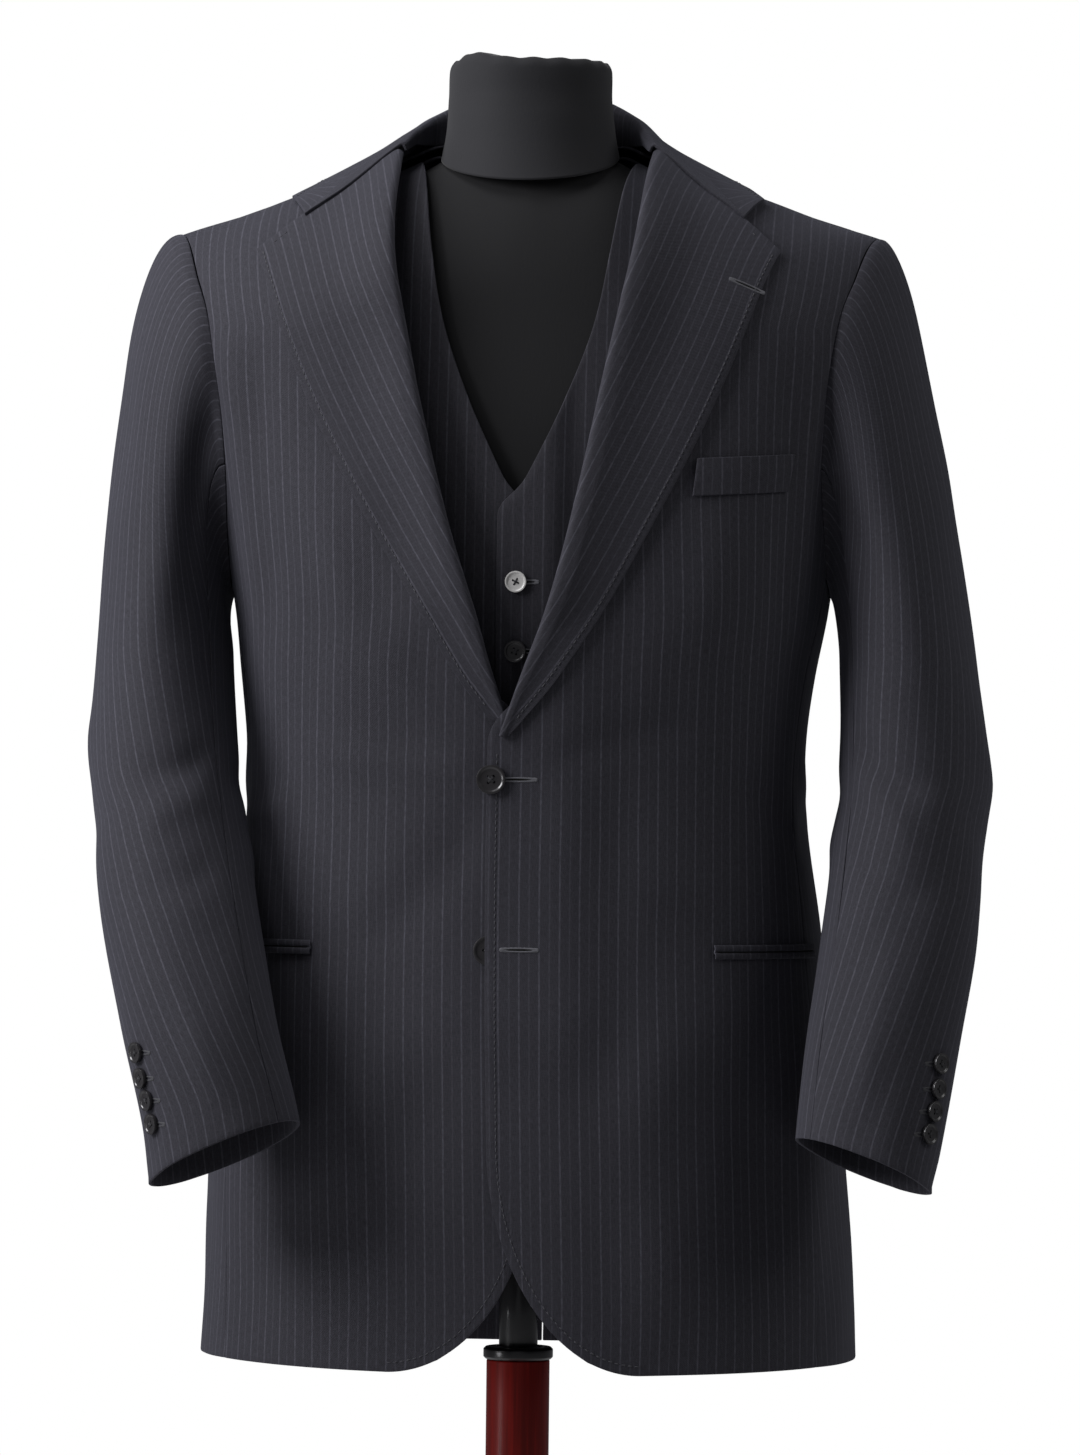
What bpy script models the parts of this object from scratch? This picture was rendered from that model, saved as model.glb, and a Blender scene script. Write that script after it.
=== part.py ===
"""A two-button suit jacket and its matching waistcoat, worn by a limbless dress form on a turned stand.

Metres, +Z up. The origin is on the floor under the post. The wearer faces -Y, so +X is the wearer's left.
A place on a worn shape is an angle round it, from the front centre towards the wearer's left, and a rise.
The rise is the height up to the shoulders, and there it goes on along the cloth up to their ridge.
"""

import math
from collections import namedtuple

import bmesh
import bpy
from mathutils import Vector

# Cloth and clearances
CLOTH = 0.002
SEAM_GAP = 0.0003
JACKET_SEAM = SEAM_GAP / 2 / 0.19
FORM_SEAM = SEAM_GAP / 2 / 0.17
RING_SEAM = SEAM_GAP / 2 / 0.015
BACK_CENTRE = 0.0004
BUTTON_GAP = 0.0005
CUFF_BUTTON_GAP = 0.00098
LAYER_GAP = 0.0008

# Body shape
ROUNDNESS = 2.5
SHOULDER_CURVE = 0.10
QUARTER = math.pi / 2
STEP = 0.02
RING_STEP = 0.3

Section = namedtuple("Section", "height half_width front back")
Ridge = namedtuple("Ridge", "across height")
Edge = namedtuple("Edge", "rise across")
Shape = namedtuple("Shape", "sections below_ridge")

SHOULDER_RIDGE = [
    Ridge(0.000, 1.560),
    Ridge(0.050, 1.548),
    Ridge(0.075, 1.535),
    Ridge(0.110, 1.5205),
    Ridge(0.150, 1.5075),
    Ridge(0.190, 1.4930),
    Ridge(0.226, 1.4815),
    Ridge(0.260, 1.470),
]

JACKET = Shape(
    [
        Section(0.760, 0.2110, 0.150, 0.128),
        Section(0.860, 0.2052, 0.147, 0.126),
        Section(0.950, 0.2000, 0.142, 0.120),
        Section(1.037, 0.1910, 0.133, 0.098),
        Section(1.137, 0.1797, 0.128, 0.090),
        Section(1.247, 0.1922, 0.133, 0.107),
        Section(1.350, 0.2120, 0.122, 0.115),
        Section(1.450, 0.2380, 0.105, 0.105),
        Section(1.560, 0.2420, 0.088, 0.088),
    ],
    0.0,
)
FORM = Shape(
    [
        Section(0.850, 0.1650, 0.108, 0.092),
        Section(0.950, 0.1760, 0.120, 0.098),
        Section(1.037, 0.1700, 0.115, 0.083),
        Section(1.137, 0.1600, 0.112, 0.075),
        Section(1.247, 0.1760, 0.118, 0.091),
        Section(1.350, 0.1850, 0.109, 0.101),
        Section(1.450, 0.1880, 0.090, 0.090),
        Section(1.560, 0.1880, 0.078, 0.078),
    ],
    0.0102,
)

# The jacket hangs a little to the wearer's left of its form
Sway = namedtuple("Sway", "height across")
SWAY = [
    Sway(0.759, 0.0068),
    Sway(0.800, 0.0070),
    Sway(0.860, 0.0054),
    Sway(0.950, 0.0030),
    Sway(1.060, 0.0012),
    Sway(1.150, 0.0015),
    Sway(1.200, 0.0020),
    Sway(1.240, 0.0036),
    Sway(1.300, 0.0018),
    Sway(1.380, 0.0000),
]

# Jacket seams and edges, with each edge's distance from the centre
HEM = 0.759
SIDE_HEM = 0.7615
UNDERARM = 1.262
UNDERARM_DIP = 0.012
NECK_POINT = 0.078
SHOULDER_POINT = 0.226
BACK_NECK = 1.537
NECK_ROUNDING = 4
OVERLAP = 0.015
CUTAWAY_TOP = 0.900
CUTAWAY_WIDTH = 0.095
CUTAWAY_TURN = math.radians(70)
BREAK_POINT = 1.155
SIDE_SEAM_HEM = math.radians(60)
SIDE_SEAM_TOP = math.radians(78)
BACK_SEAM_HEM = math.radians(118)
BACK_SEAM_TOP = math.radians(103)

ARMHOLE = [
    Edge(1.2620, 0.190),
    Edge(1.3150, 0.190),
    Edge(1.3500, 0.191),
    Edge(1.3850, 0.194),
    Edge(1.4290, 0.202),
    Edge(1.4630, 0.212),
    Edge(1.5385, 0.226),
]
ROLL_LINE = [
    Edge(1.1550, -0.0060),
    Edge(1.2264, 0.0176),
    Edge(1.2950, 0.0377),
    Edge(1.4064, 0.0625),
    Edge(1.4665, 0.0735),
    Edge(1.5370, 0.0765),
    Edge(1.5910, 0.0780),
]
LAPEL_EDGE = [
    Edge(1.1550, -0.0020),
    Edge(1.2000, 0.0340),
    Edge(1.3050, 0.0960),
    Edge(1.3900, 0.1370),
    Edge(1.4738, 0.1667),
]
NOTCH = Edge(1.4980, 0.1395)
GORGE_END = Edge(1.5570, 0.0768)
COLLAR_CORNER = Edge(1.5300, 0.1510)

# The wearer's right lapel lies a little further out than the left one, and starts under the left front
LAPEL_SHIFT = {1: -0.004, -1: 0.004}
LAPEL_START = {1: 1.160, -1: 1.168}

# Heights of the layers over the jacket's own surface
OVERLAP_LIFT = 0.0062
HEM_LIFT = 0.0030
ROLL_LIFT = 0.0045
ROLL_REACH = 0.045
ROLL_INSET = 0.0085
LAPEL_SWELL = 0.0035
PRESSED_ROLL = 0.30
LEAF_INSET = 0.012
PULL_START = 0.72
FOLD_OPENS = 0.03
INSET_END = 0.05
EDGE_TOP = BREAK_POINT - 0.006

# Where a change sets in, and over what length
Fade = namedtuple("Fade", "start length")
SHIFT_FADE = Fade(1.560, 0.120)
ROLL_FADE = Fade(BREAK_POINT, 0.110)
BREAK_FADE = Fade(BREAK_POINT, 0.060)
INSET_FADE = Fade(BREAK_POINT, 0.030)
HEM_FADE = Fade(0.930, 0.060)
OVERLAP_FADE = Fade(1.270, 0.080)
EDGE_FADE = Fade(0.075, 0.050)
CAP_FADE = Fade(1.330, 0.080)

# Grid rows of a jacket front: its edge on the left, its side seam and armhole on the right
CUTAWAY_ROWS = 3
EDGE_ROWS = 5
ROLL_ROWS = 11
SEAM_ROWS = 11
ARMHOLE_ROWS = 8
FRONT_COLUMNS = 10
SIDE_COLUMNS = 4
BACK_COLUMNS = 9
LAPEL_ROWS = 13
LAPEL_COLUMNS = 8
FOLD_STEPS = 3
GORGE_COLUMNS = 3
SLEEVE_ROWS = 12

# Sleeves, from the cuff up. The seam at the back of the arm turns outwards on its way down
Sleeve = namedtuple("Sleeve", "height across forward half_width half_depth rear_seam")
SLEEVES = {
    1: [
        Sleeve(0.880, 0.2235, -0.138, 0.0450, 0.0435, 8),
        Sleeve(0.902, 0.2276, -0.130, 0.0460, 0.0440, 4),
        Sleeve(0.970, 0.2363, -0.110, 0.0485, 0.0500, -25),
        Sleeve(1.034, 0.2449, -0.085, 0.0495, 0.0550, -45),
        Sleeve(1.086, 0.2495, -0.063, 0.0488, 0.0600, -60),
        Sleeve(1.131, 0.2522, -0.045, 0.0484, 0.0650, -68),
        Sleeve(1.210, 0.2475, -0.020, 0.0440, 0.0730, -80),
        Sleeve(1.260, 0.2420, -0.006, 0.0420, 0.0760, -85),
    ],
    -1: [
        Sleeve(0.880, 0.1715, -0.169, 0.0495, 0.0435, 8),
        Sleeve(0.913, 0.1760, -0.164, 0.0500, 0.0440, 4),
        Sleeve(0.975, 0.1928, -0.148, 0.0495, 0.0480, -25),
        Sleeve(1.053, 0.2109, -0.113, 0.0500, 0.0530, -50),
        Sleeve(1.131, 0.2250, -0.067, 0.0478, 0.0620, -68),
        Sleeve(1.210, 0.2315, -0.025, 0.0437, 0.0720, -80),
        Sleeve(1.260, 0.2312, -0.008, 0.0420, 0.0760, -85),
    ],
}
BICEP = 1.210
CAP_FULLNESS = {1: 0.20, -1: 0.35}
CAP_SHARE = 0.42
CAP_ARRIVAL = 1.05
CAP_FALL = 0.9
CAP_SPREAD = 0.25
FRONT_SEAM = 142
CUFF_HEIGHT = {1: 0.892, -1: 0.896}
CUFF_SLOPE = {1: 0.35, -1: 0.41}
CUFF_PITCH = 0.20
TOP_SLEEVE_START = 2
TOP_SLEEVE_END = 13

# Waistcoat, on the form's own shape
WAISTCOAT_OUT = CLOTH + 0.0009
WAISTCOAT_OVERLAP = 0.010
WAISTCOAT_CENTRE = 1.020
WAISTCOAT_POINT = Edge(0.985, 0.045)
WAISTCOAT_SIDE = 1.030
WAISTCOAT_UNDERARM = 1.215
WAISTCOAT_BACK_NECK = 1.522
WAISTCOAT_LIFT = 0.0034
WAISTCOAT_FADE = Fade(0.040, 0.020)
NECKLINE = [
    Edge(1.3050, -0.0020),
    Edge(1.3380, 0.0145),
    Edge(1.3740, 0.0310),
    Edge(1.4200, 0.0475),
    Edge(1.4700, 0.0572),
    Edge(1.5260, 0.0640),
    Edge(1.5900, 0.0720),
]
NECKLINE_START = NECKLINE[0].rise - 0.006
WAISTCOAT_ARMHOLE = [
    Edge(1.2150, 0.1735),
    Edge(1.2600, 0.1570),
    Edge(1.3200, 0.1430),
    Edge(1.4000, 0.1370),
    Edge(1.4800, 0.1380),
    Edge(1.5600, 0.1420),
]
WAISTCOAT_EDGE_ROWS = 6
WAISTCOAT_NECK_ROWS = 9
WAISTCOAT_SIDE_ROWS = 5
WAISTCOAT_COLUMNS = 9
WAISTCOAT_BACK_COLUMNS = 16

# Pockets
WELT_INNER = Edge(1.336, 0.1130)
WELT_OUTER = Edge(1.340, 0.1740)
WELT_DEPTH = 0.024
WELT_THICKNESS = 0.0012
JET_HEIGHT = 1.0245
JET_DEPTH = 0.009
JET_START = math.radians(36.5)
JET_END = math.radians(74)

# Buttons: radius and thickness
Button = namedtuple("Button", "radius thickness")
JACKET_BUTTON = Button(0.0092, 0.0028)
CUFF_BUTTON = Button(0.0066, 0.0024)
WAISTCOAT_BUTTON = Button(0.0068, 0.0024)
BUTTON_SIDES = 16
BUTTON_ANGLE = -0.03
BUTTON_REACH = 0.01
UPPER_BUTTON = 1.132
LOWER_BUTTON = 1.025
CUFF_BUTTONS = 4
CUFF_BUTTON_PITCH = 0.0145
CUFF_BUTTON_START = 0.027
CUFF_BUTTON_ANGLE = 44
WAISTCOAT_BUTTONS = 6
WAISTCOAT_BUTTON_TOP = 1.2567
WAISTCOAT_BUTTON_PITCH = 0.0440
WAISTCOAT_BUTTON_ACROSS = 0.002

# Dress form and stand
TORSO_BOTTOM = 0.850
TORSO_COLUMNS = 18
TORSO_EASE = 0.0046
TORSO_ROWS = 15
SHOULDER_RISE = 1.5
RIDGE_GAP = 0.0006
Ring = namedtuple("Ring", "height half_width half_depth forward")
NECK_RINGS = [
    Ring(1.5350, 0.0575, 0.0580, -0.010),
    Ring(1.5500, 0.0545, 0.0535, -0.007),
    Ring(1.5700, 0.0528, 0.0510, -0.006),
    Ring(1.5900, 0.0522, 0.0505, -0.006),
    Ring(1.5935, 0.0500, 0.0485, -0.006),
]
NECK_SADDLE = 0.31
SADDLE_FADE = Fade(1.56, 0.025)
NECK_BUMP = 0.004
BUMP_FROM = 1.58
BUMP_ANGLE = 5.5
BUMP_WIDTH = 0.35
NECK_FOOT = 0.006
NECK_SIDES = 24
STEM_RADIUS = 0.0125
RING_RADIUS = 0.0225
RING_EDGE = 0.0015
RING_BOTTOM = 0.7570
RING_TOP = 0.7650
POST_RADIUS = 0.0204
BASE_RADIUS = 0.195
BASE_THICKNESS = 0.026
TURNED_STEPS = 32
STEM_STEPS = 20
BASE_STEPS = 48

CHARCOAL = (0.035, 0.034, 0.041)
DARK_CHARCOAL = (0.020, 0.019, 0.023)
HORN = (0.015, 0.014, 0.016)
PEARL = (0.55, 0.54, 0.52)
JERSEY = (0.011, 0.011, 0.013)
BLACK_METAL = (0.010, 0.010, 0.011)
MAHOGANY = (0.095, 0.018, 0.012)


def through(rows, key, column):
    """A column's value at a key of the first column, on a smooth curve through the table's rows."""
    keys = [row[0] for row in rows]
    values = [getattr(row, column) for row in rows]
    key = min(max(key, keys[0]), keys[-1])
    high = next(i for i in range(1, len(keys)) if key <= keys[i])
    low = high - 1
    span = keys[high] - keys[low]
    slopes = []
    for i in (low, high):
        before = max(i - 1, 0)
        after = min(i + 1, len(keys) - 1)
        slopes.append((values[after] - values[before]) / (keys[after] - keys[before]) * span)
    part = (key - keys[low]) / span
    left = 1 - part
    ends = values[low] * (1 + 2 * part) * left**2 + values[high] * part**2 * (3 - 2 * part)
    return ends + slopes[0] * part * left**2 - slopes[1] * part**2 * left


def ease(value):
    """A smooth step from 0 to 1 as the value goes from 0 to 1."""
    value = min(max(value, 0.0), 1.0)
    return value * value * (3 - 2 * value)


def mix(first, second, part):
    return first + (second - first) * part


def above(fade, value):
    return ease((value - fade.start) / fade.length)


def below(fade, value):
    return ease((fade.start - value) / fade.length)


def rounded(value):
    """The power of a sine or cosine that squares an oval up, with its sign kept."""
    return math.copysign(abs(value) ** (2 / ROUNDNESS), value)


def body_point(shape, angle, rise, out=0.0):
    """The point of a worn shape at an angle and a rise, moved out by a distance."""
    across = (through(shape.sections, rise, "half_width") + out) * rounded(math.sin(angle))
    ridge = through(SHOULDER_RIDGE, abs(across), "height") - shape.below_ridge + out
    start = ridge - SHOULDER_CURVE
    turn = max(rise - start, 0.0) / SHOULDER_CURVE
    height = min(rise, start) + SHOULDER_CURVE * math.sin(turn)
    side = "front" if math.cos(angle) > 0 else "back"
    depth = (through(shape.sections, height, side) + out) * math.cos(turn) * rounded(math.cos(angle))
    return Vector((across, -depth, height))


def body_normal(shape, angle, rise, out=0.0):
    """The direction out of a worn shape."""
    step = 0.01
    turning = body_point(shape, angle + step, rise, out) - body_point(shape, angle - step, rise, out)
    rising = body_point(shape, angle, rise + step, out) - body_point(shape, angle, rise - step, out)
    return turning.cross(rising).normalized()


def angle_at(shape, across, rise, out=0.0):
    """The angle, on the front, of a place at a distance from the centre."""
    share = abs(across) / (through(shape.sections, rise, "half_width") + out)
    return math.copysign(math.asin(min(share, 1.0) ** (ROUNDNESS / 2)), across)


def ridge_rise(shape, across, out=0.0):
    """The rise at which the cloth reaches the shoulder's ridge."""
    ridge = through(SHOULDER_RIDGE, abs(across), "height") - shape.below_ridge + out
    return ridge - SHOULDER_CURVE + SHOULDER_CURVE * QUARTER


def place_of(shape, edge, out=0.0):
    """An edge row as an angle and a rise."""
    return Vector((angle_at(shape, edge.across, edge.rise, out), edge.rise))


def turned_back(place):
    """A place on the front, moved to the same spot of the back."""
    return Vector((math.pi - place.x, place.y))


def piecewise(pieces):
    """One curve from 0 to 1 out of several, each with its number of grid steps."""
    total = sum(steps for steps, _ in pieces)

    def curve(part):
        done = part * total
        for steps, piece in pieces[:-1]:
            if done <= steps:
                return piece(done / steps)
            done -= steps
        return pieces[-1][1](min(done / pieces[-1][0], 1.0))

    return curve


def patch(bottom, top, left, right):
    """Fills four edge curves that meet at their corners."""

    def place(u, v):
        across = left(v).lerp(right(v), u)
        along = bottom(u).lerp(top(u), v)
        corners = bottom(0).lerp(bottom(1), u).lerp(top(0).lerp(top(1), u), v)
        return across + along - corners

    return place


def straight(first, second):
    return lambda part: Vector(first).lerp(Vector(second), part)


def make_material(name, colour, roughness, metallic=0.0):
    material = bpy.data.materials.new(name)
    material.use_nodes = True
    shader = material.node_tree.nodes["Principled BSDF"]
    shader.inputs["Base Color"].default_value = (*colour, 1.0)
    shader.inputs["Roughness"].default_value = roughness
    shader.inputs["Metallic"].default_value = metallic
    return material


def add_object(name, build, colour, roughness, metallic=0.0):
    """An object in the suit's collection from a finished bmesh, with its own material."""
    bmesh.ops.recalc_face_normals(build, faces=build.faces)
    if build.calc_volume(signed=True) < 0:
        bmesh.ops.reverse_faces(build, faces=build.faces)
    mesh = bpy.data.meshes.new(name)
    build.to_mesh(mesh)
    build.free()
    mesh.shade_smooth()
    mesh.set_sharp_from_angle(angle=math.radians(40))
    mesh.materials.append(make_material(name, colour, roughness, metallic))
    made = bpy.data.objects.new(name, mesh)
    bpy.data.collections["Suit on dress form"].objects.link(made)
    return made


def plate(name, columns, rows, place, colour, roughness=0.85, weld=False):
    """A closed panel: a grid extruded once, with its two layers laid where place(u, v) puts them."""
    build = bmesh.new()
    bmesh.ops.create_grid(build, x_segments=columns, y_segments=rows, size=0.5)
    outer = list(build.verts)
    bmesh.ops.extrude_face_region(build, geom=build.faces[:], use_keep_orig=True)
    inner = [vertex for vertex in build.verts if vertex not in set(outer)]
    for layer, vertices in enumerate((outer, inner)):
        for vertex in vertices:
            vertex.co = place(vertex.co.x + 0.5, vertex.co.y + 0.5)[layer]
    if weld:
        bmesh.ops.remove_doubles(build, verts=build.verts, dist=1e-5)
    return add_object(name, build, colour, roughness)


def hung(point, side):
    """A point of the jacket's left half, put on its own side of the jacket as it hangs."""
    return Vector((point.x * side + through(SWAY, point.z, "across"), point.y, point.z))


def mirrored(point, side):
    return Vector((point.x * side, point.y, point.z))


def on_body(shape, where, side, lift, thickness=CLOTH):
    """Lays a patch on a worn shape: the outer layer is lifted off it, the inner one a cloth further in."""

    def place(u, v):
        angle, rise = where(u, v)
        out = lift(angle, rise)
        outer = body_point(shape, angle, rise, out)
        inner = outer - body_normal(shape, angle, rise, out) * thickness
        settle = hung if shape is JACKET else mirrored
        return [settle(point, side) for point in (outer, inner)]

    return place


def roll_across(side, rise):
    """Where the lapel folds, from the centre."""
    return through(ROLL_LINE, rise, "across") + LAPEL_SHIFT[side] * below(SHIFT_FADE, rise)


def roll_share(rise):
    """How far the lapel's roll stands open: it is pressed flat at the break."""
    return mix(PRESSED_ROLL, 1.0, above(ROLL_FADE, rise))


def front_lift(side, angle, rise):
    """How far a jacket front stands off its own shape: over the other front, and along the roll."""
    across = body_point(JACKET, angle, rise).x
    lift = ROLL_LIFT * roll_share(rise) * above(BREAK_FADE, rise)
    lift *= ease(1 - (across - roll_across(side, rise)) / ROLL_REACH)
    if side > 0:
        over = mix(HEM_LIFT, OVERLAP_LIFT, above(HEM_FADE, rise)) * below(OVERLAP_FADE, rise)
        lift = max(lift, over * below(EDGE_FADE, across))
    return lift


def front_edge(side):
    """The jacket front's free edge, from the hem's curve up to the neck."""

    def cutaway(part):
        turn = CUTAWAY_TURN * (1 - part)
        rise = CUTAWAY_TOP - (CUTAWAY_TOP - HEM) * math.sin(turn)
        across = CUTAWAY_WIDTH * (1 - math.cos(turn)) - OVERLAP
        return place_of(JACKET, Edge(rise, across))

    def edge(part):
        return place_of(JACKET, Edge(mix(CUTAWAY_TOP, EDGE_TOP, part), -OVERLAP))

    def roll(part):
        top = ridge_rise(JACKET, NECK_POINT) - SEAM_GAP / 2
        rise = mix(EDGE_TOP, top, part)
        inset = ROLL_INSET * above(INSET_FADE, rise) * ease((top - rise) / INSET_END)
        across = roll_across(side, rise) + inset
        across = mix(-OVERLAP, across, ease(part * 9))
        return place_of(JACKET, Edge(rise, across))

    return piecewise([(CUTAWAY_ROWS, cutaway), (EDGE_ROWS, edge), (ROLL_ROWS, roll)])


def side_seam(hem_angle, top_angle, gap):
    """A long seam beside the side panel, from the hem to the underarm."""
    return straight((hem_angle + gap, SIDE_HEM), (top_angle + gap, UNDERARM))


def armhole(part):
    """The armhole's front half, from the underarm to the shoulder."""
    top = ridge_rise(JACKET, SHOULDER_POINT) - SEAM_GAP / 2
    rise = mix(UNDERARM, top, part)
    place = place_of(JACKET, Edge(rise, through(ARMHOLE, rise, "across")))
    corner = SIDE_SEAM_TOP - place_of(JACKET, ARMHOLE[0]).x
    return place + Vector((corner * (1 - ease(part * 4)), 0))


def back_armhole(part):
    """The armhole's back half."""
    place = turned_back(armhole(part))
    corner = BACK_SEAM_TOP - (math.pi - SIDE_SEAM_TOP)
    return place + Vector((corner * (1 - ease(part * 4)), 0))


def shoulder_seam(first, last, out=0.0, shape=JACKET):
    """A stretch of the ridge between two distances from the centre, just in front of it."""

    def curve(part):
        across = mix(first, last, part)
        rise = ridge_rise(shape, across, out) - SEAM_GAP / 2
        return place_of(shape, Edge(rise, across), out)

    return curve


def jacket_front(side, name):
    left = front_edge(side)
    gap = JACKET_SEAM
    seam = side_seam(SIDE_SEAM_HEM, SIDE_SEAM_TOP, -gap)
    right = piecewise([(SEAM_ROWS, seam), (ARMHOLE_ROWS, lambda part: armhole(part) - Vector((gap, 0)))])

    def curve_end(part):
        turn = mix(CUTAWAY_TURN, QUARTER, part)
        rise = CUTAWAY_TOP - (CUTAWAY_TOP - HEM) * math.sin(turn)
        return place_of(JACKET, Edge(rise, CUTAWAY_WIDTH * (1 - math.cos(turn)) - OVERLAP))

    hem = piecewise([(2, curve_end), (FRONT_COLUMNS - 2, straight(curve_end(1), seam(0)))])
    first = left(1)
    last = right(1)
    ridge = shoulder_seam(NECK_POINT, SHOULDER_POINT)
    start = first - ridge(0)
    end = last - ridge(1)

    def top(part):
        return ridge(part) + start.lerp(end, part)

    where = patch(hem, top, left, right)
    rows = CUTAWAY_ROWS + EDGE_ROWS + ROLL_ROWS
    lift = lambda angle, rise: front_lift(side, angle, rise)
    plate(name, FRONT_COLUMNS, rows, on_body(JACKET, where, side, lift), CHARCOAL)


def underarm(part):
    """The armhole's lowest stretch, over the side panel, from front to back."""
    angle = mix(SIDE_SEAM_TOP, BACK_SEAM_TOP, part)
    return Vector((angle, UNDERARM - UNDERARM_DIP * math.sin(math.pi * part)))


def jacket_side(side, name):
    gap = JACKET_SEAM
    left = side_seam(SIDE_SEAM_HEM, SIDE_SEAM_TOP, gap)
    right = side_seam(BACK_SEAM_HEM, BACK_SEAM_TOP, -gap)

    def top(part):
        return underarm(part) + Vector((gap * (1 - 2 * part), 0))

    where = patch(straight(left(0), right(0)), top, left, right)
    plate(name, SIDE_COLUMNS, SEAM_ROWS, on_body(JACKET, where, side, lambda *_: 0.0), CHARCOAL)


def back_neck(shape, first, last, height, out=0.0):
    """The back neckline, from the centre to the neck point."""

    def curve(part):
        across = mix(first, last, part)
        ridge = through(SHOULDER_RIDGE, abs(across), "height") - shape.below_ridge + out
        turn = math.asin(min(1 - (ridge - height) / SHOULDER_CURVE, 1.0))
        low = ridge - SHOULDER_CURVE + SHOULDER_CURVE * turn
        high = ridge_rise(shape, across, out) - SEAM_GAP / 2
        share = max(abs(first), abs(last))
        rise = mix(low, high, ease(abs(across) / share) ** NECK_ROUNDING)
        return turned_back(place_of(shape, Edge(rise, across), out))

    return curve


def jacket_back(side, name):
    gap = JACKET_SEAM
    neck = back_neck(JACKET, BACK_CENTRE, NECK_POINT, BACK_NECK)
    left = straight((neck(0).x, HEM), neck(0))
    seam = side_seam(BACK_SEAM_HEM, BACK_SEAM_TOP, gap)
    hole = lambda part: back_armhole(part) + Vector((gap, 0))
    right = piecewise([(SEAM_ROWS, seam), (ARMHOLE_ROWS, hole)])
    ridge = shoulder_seam(NECK_POINT, SHOULDER_POINT)
    end = right(1) - turned_back(ridge(1))
    shoulder = lambda part: turned_back(ridge(part)) + end * part
    top = piecewise([(3, neck), (BACK_COLUMNS - 3, shoulder)])
    where = patch(straight(left(0), right(0)), top, left, right)
    rows = SEAM_ROWS + ARMHOLE_ROWS
    plate(name, BACK_COLUMNS, rows, on_body(JACKET, where, side, lambda *_: 0.0), CHARCOAL)


def gorge(part):
    """The lapel's top edge from the roll line: the gorge seam to the notch, then on to the tip."""
    tip = LAPEL_EDGE[-1]
    seam_share = GORGE_COLUMNS / (LAPEL_COLUMNS - FOLD_STEPS)
    if part < seam_share:
        first, last, part = GORGE_END, NOTCH, part / seam_share
    else:
        first, last, part = NOTCH, tip, (part - seam_share) / (1 - seam_share)
    return Edge(mix(first.rise, last.rise, part), mix(first.across, last.across, part))


def lapel_place(side, u, v):
    """The lapel's two layers: a round fold at the roll line, then a leaf laid on the front."""
    bottom = LAPEL_START[side]
    fold_rise = mix(bottom, GORGE_END.rise - SEAM_GAP, v)
    edge_rise = mix(bottom, LAPEL_EDGE[-1].rise, v)
    shift = LAPEL_SHIFT[side] * below(SHIFT_FADE, edge_rise)
    fold = Vector((roll_across(side, fold_rise), fold_rise))
    edge = Vector((through(LAPEL_EDGE, edge_rise, "across") + shift, edge_rise))
    top = gorge(u)
    flat_top = mix(GORGE_END.rise, LAPEL_EDGE[-1].rise, u)
    flat_across = mix(GORGE_END.across, LAPEL_EDGE[-1].across, u)
    place = fold.lerp(edge, u)
    pull = ease((v - PULL_START) / (1 - PULL_START))
    place += Vector((top.across - flat_across, top.rise - flat_top)) * pull
    return place


Fold = namedtuple("Fold", "step outer_in outer_lift inner_in inner_lift")
LAPEL_FOLD = [
    Fold(0, 0.0050, -0.0005, 0.0050, 0.0015),
    Fold(1, 0.0005, 0.0022, 0.0024, 0.0025),
    Fold(2, 0.0030, 0.0066, 0.0042, 0.0051),
]


def lapel(side, name):
    def place(u, v):
        step = round(u * LAPEL_COLUMNS)
        if step < FOLD_STEPS:
            fold = LAPEL_FOLD[step]
            ins = (fold.outer_in, fold.inner_in)
            lifts = (fold.outer_lift, fold.inner_lift)
        else:
            ins = (LEAF_INSET, LEAF_INSET)
            lifts = None
        leaf = max(step - FOLD_STEPS, 0) / (LAPEL_COLUMNS - FOLD_STEPS)
        middle = lapel_place(side, leaf, v)
        points = []
        for layer in range(2):
            across = middle.x + ins[layer] * (1 - leaf) * roll_share(middle.y)
            angle = angle_at(JACKET, across, middle.y)
            base = front_lift(side, angle, middle.y)
            swell = LAPEL_SWELL * roll_share(middle.y) * (1 - leaf) ** 3
            high = base + CLOTH + LAYER_GAP + swell
            if lifts:
                share = lifts[layer] / LAPEL_FOLD[-1].outer_lift
                flat = LAYER_GAP / (high - base)
                opened = ease((middle.y - LAPEL_START[side]) / FOLD_OPENS)
                share = mix(flat + share * (1 - flat), share, opened)
                lift = mix(base, high, share)
            else:
                lift = high - CLOTH * layer
            point = body_point(JACKET, angle, middle.y) + body_normal(JACKET, angle, middle.y) * lift
            points.append(hung(point, side))
        return points

    plate(name, LAPEL_COLUMNS, LAPEL_ROWS, place, CHARCOAL)


def ring_places():
    """The armhole all round as angles and rises: up its front, down its back, then along underneath."""
    front = [armhole(i / ARMHOLE_ROWS) for i in range(ARMHOLE_ROWS)]
    back = [back_armhole(1 - i / ARMHOLE_ROWS) for i in range(ARMHOLE_ROWS)]
    under = [underarm(1 - i / SIDE_COLUMNS) for i in range(SIDE_COLUMNS)]
    return front + back + under


def sleeve_section(side, height, angle):
    """The point of a sleeve's own oval at a height and an angle in degrees, 0 outwards and 90 forward."""
    rows = SLEEVES[side]
    turn = math.radians(angle)
    across = through(rows, height, "across") + through(rows, height, "half_width") * math.cos(turn)
    forward = through(rows, height, "forward") - through(rows, height, "half_depth") * math.sin(turn)
    return Vector((across, forward, height))


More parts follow.
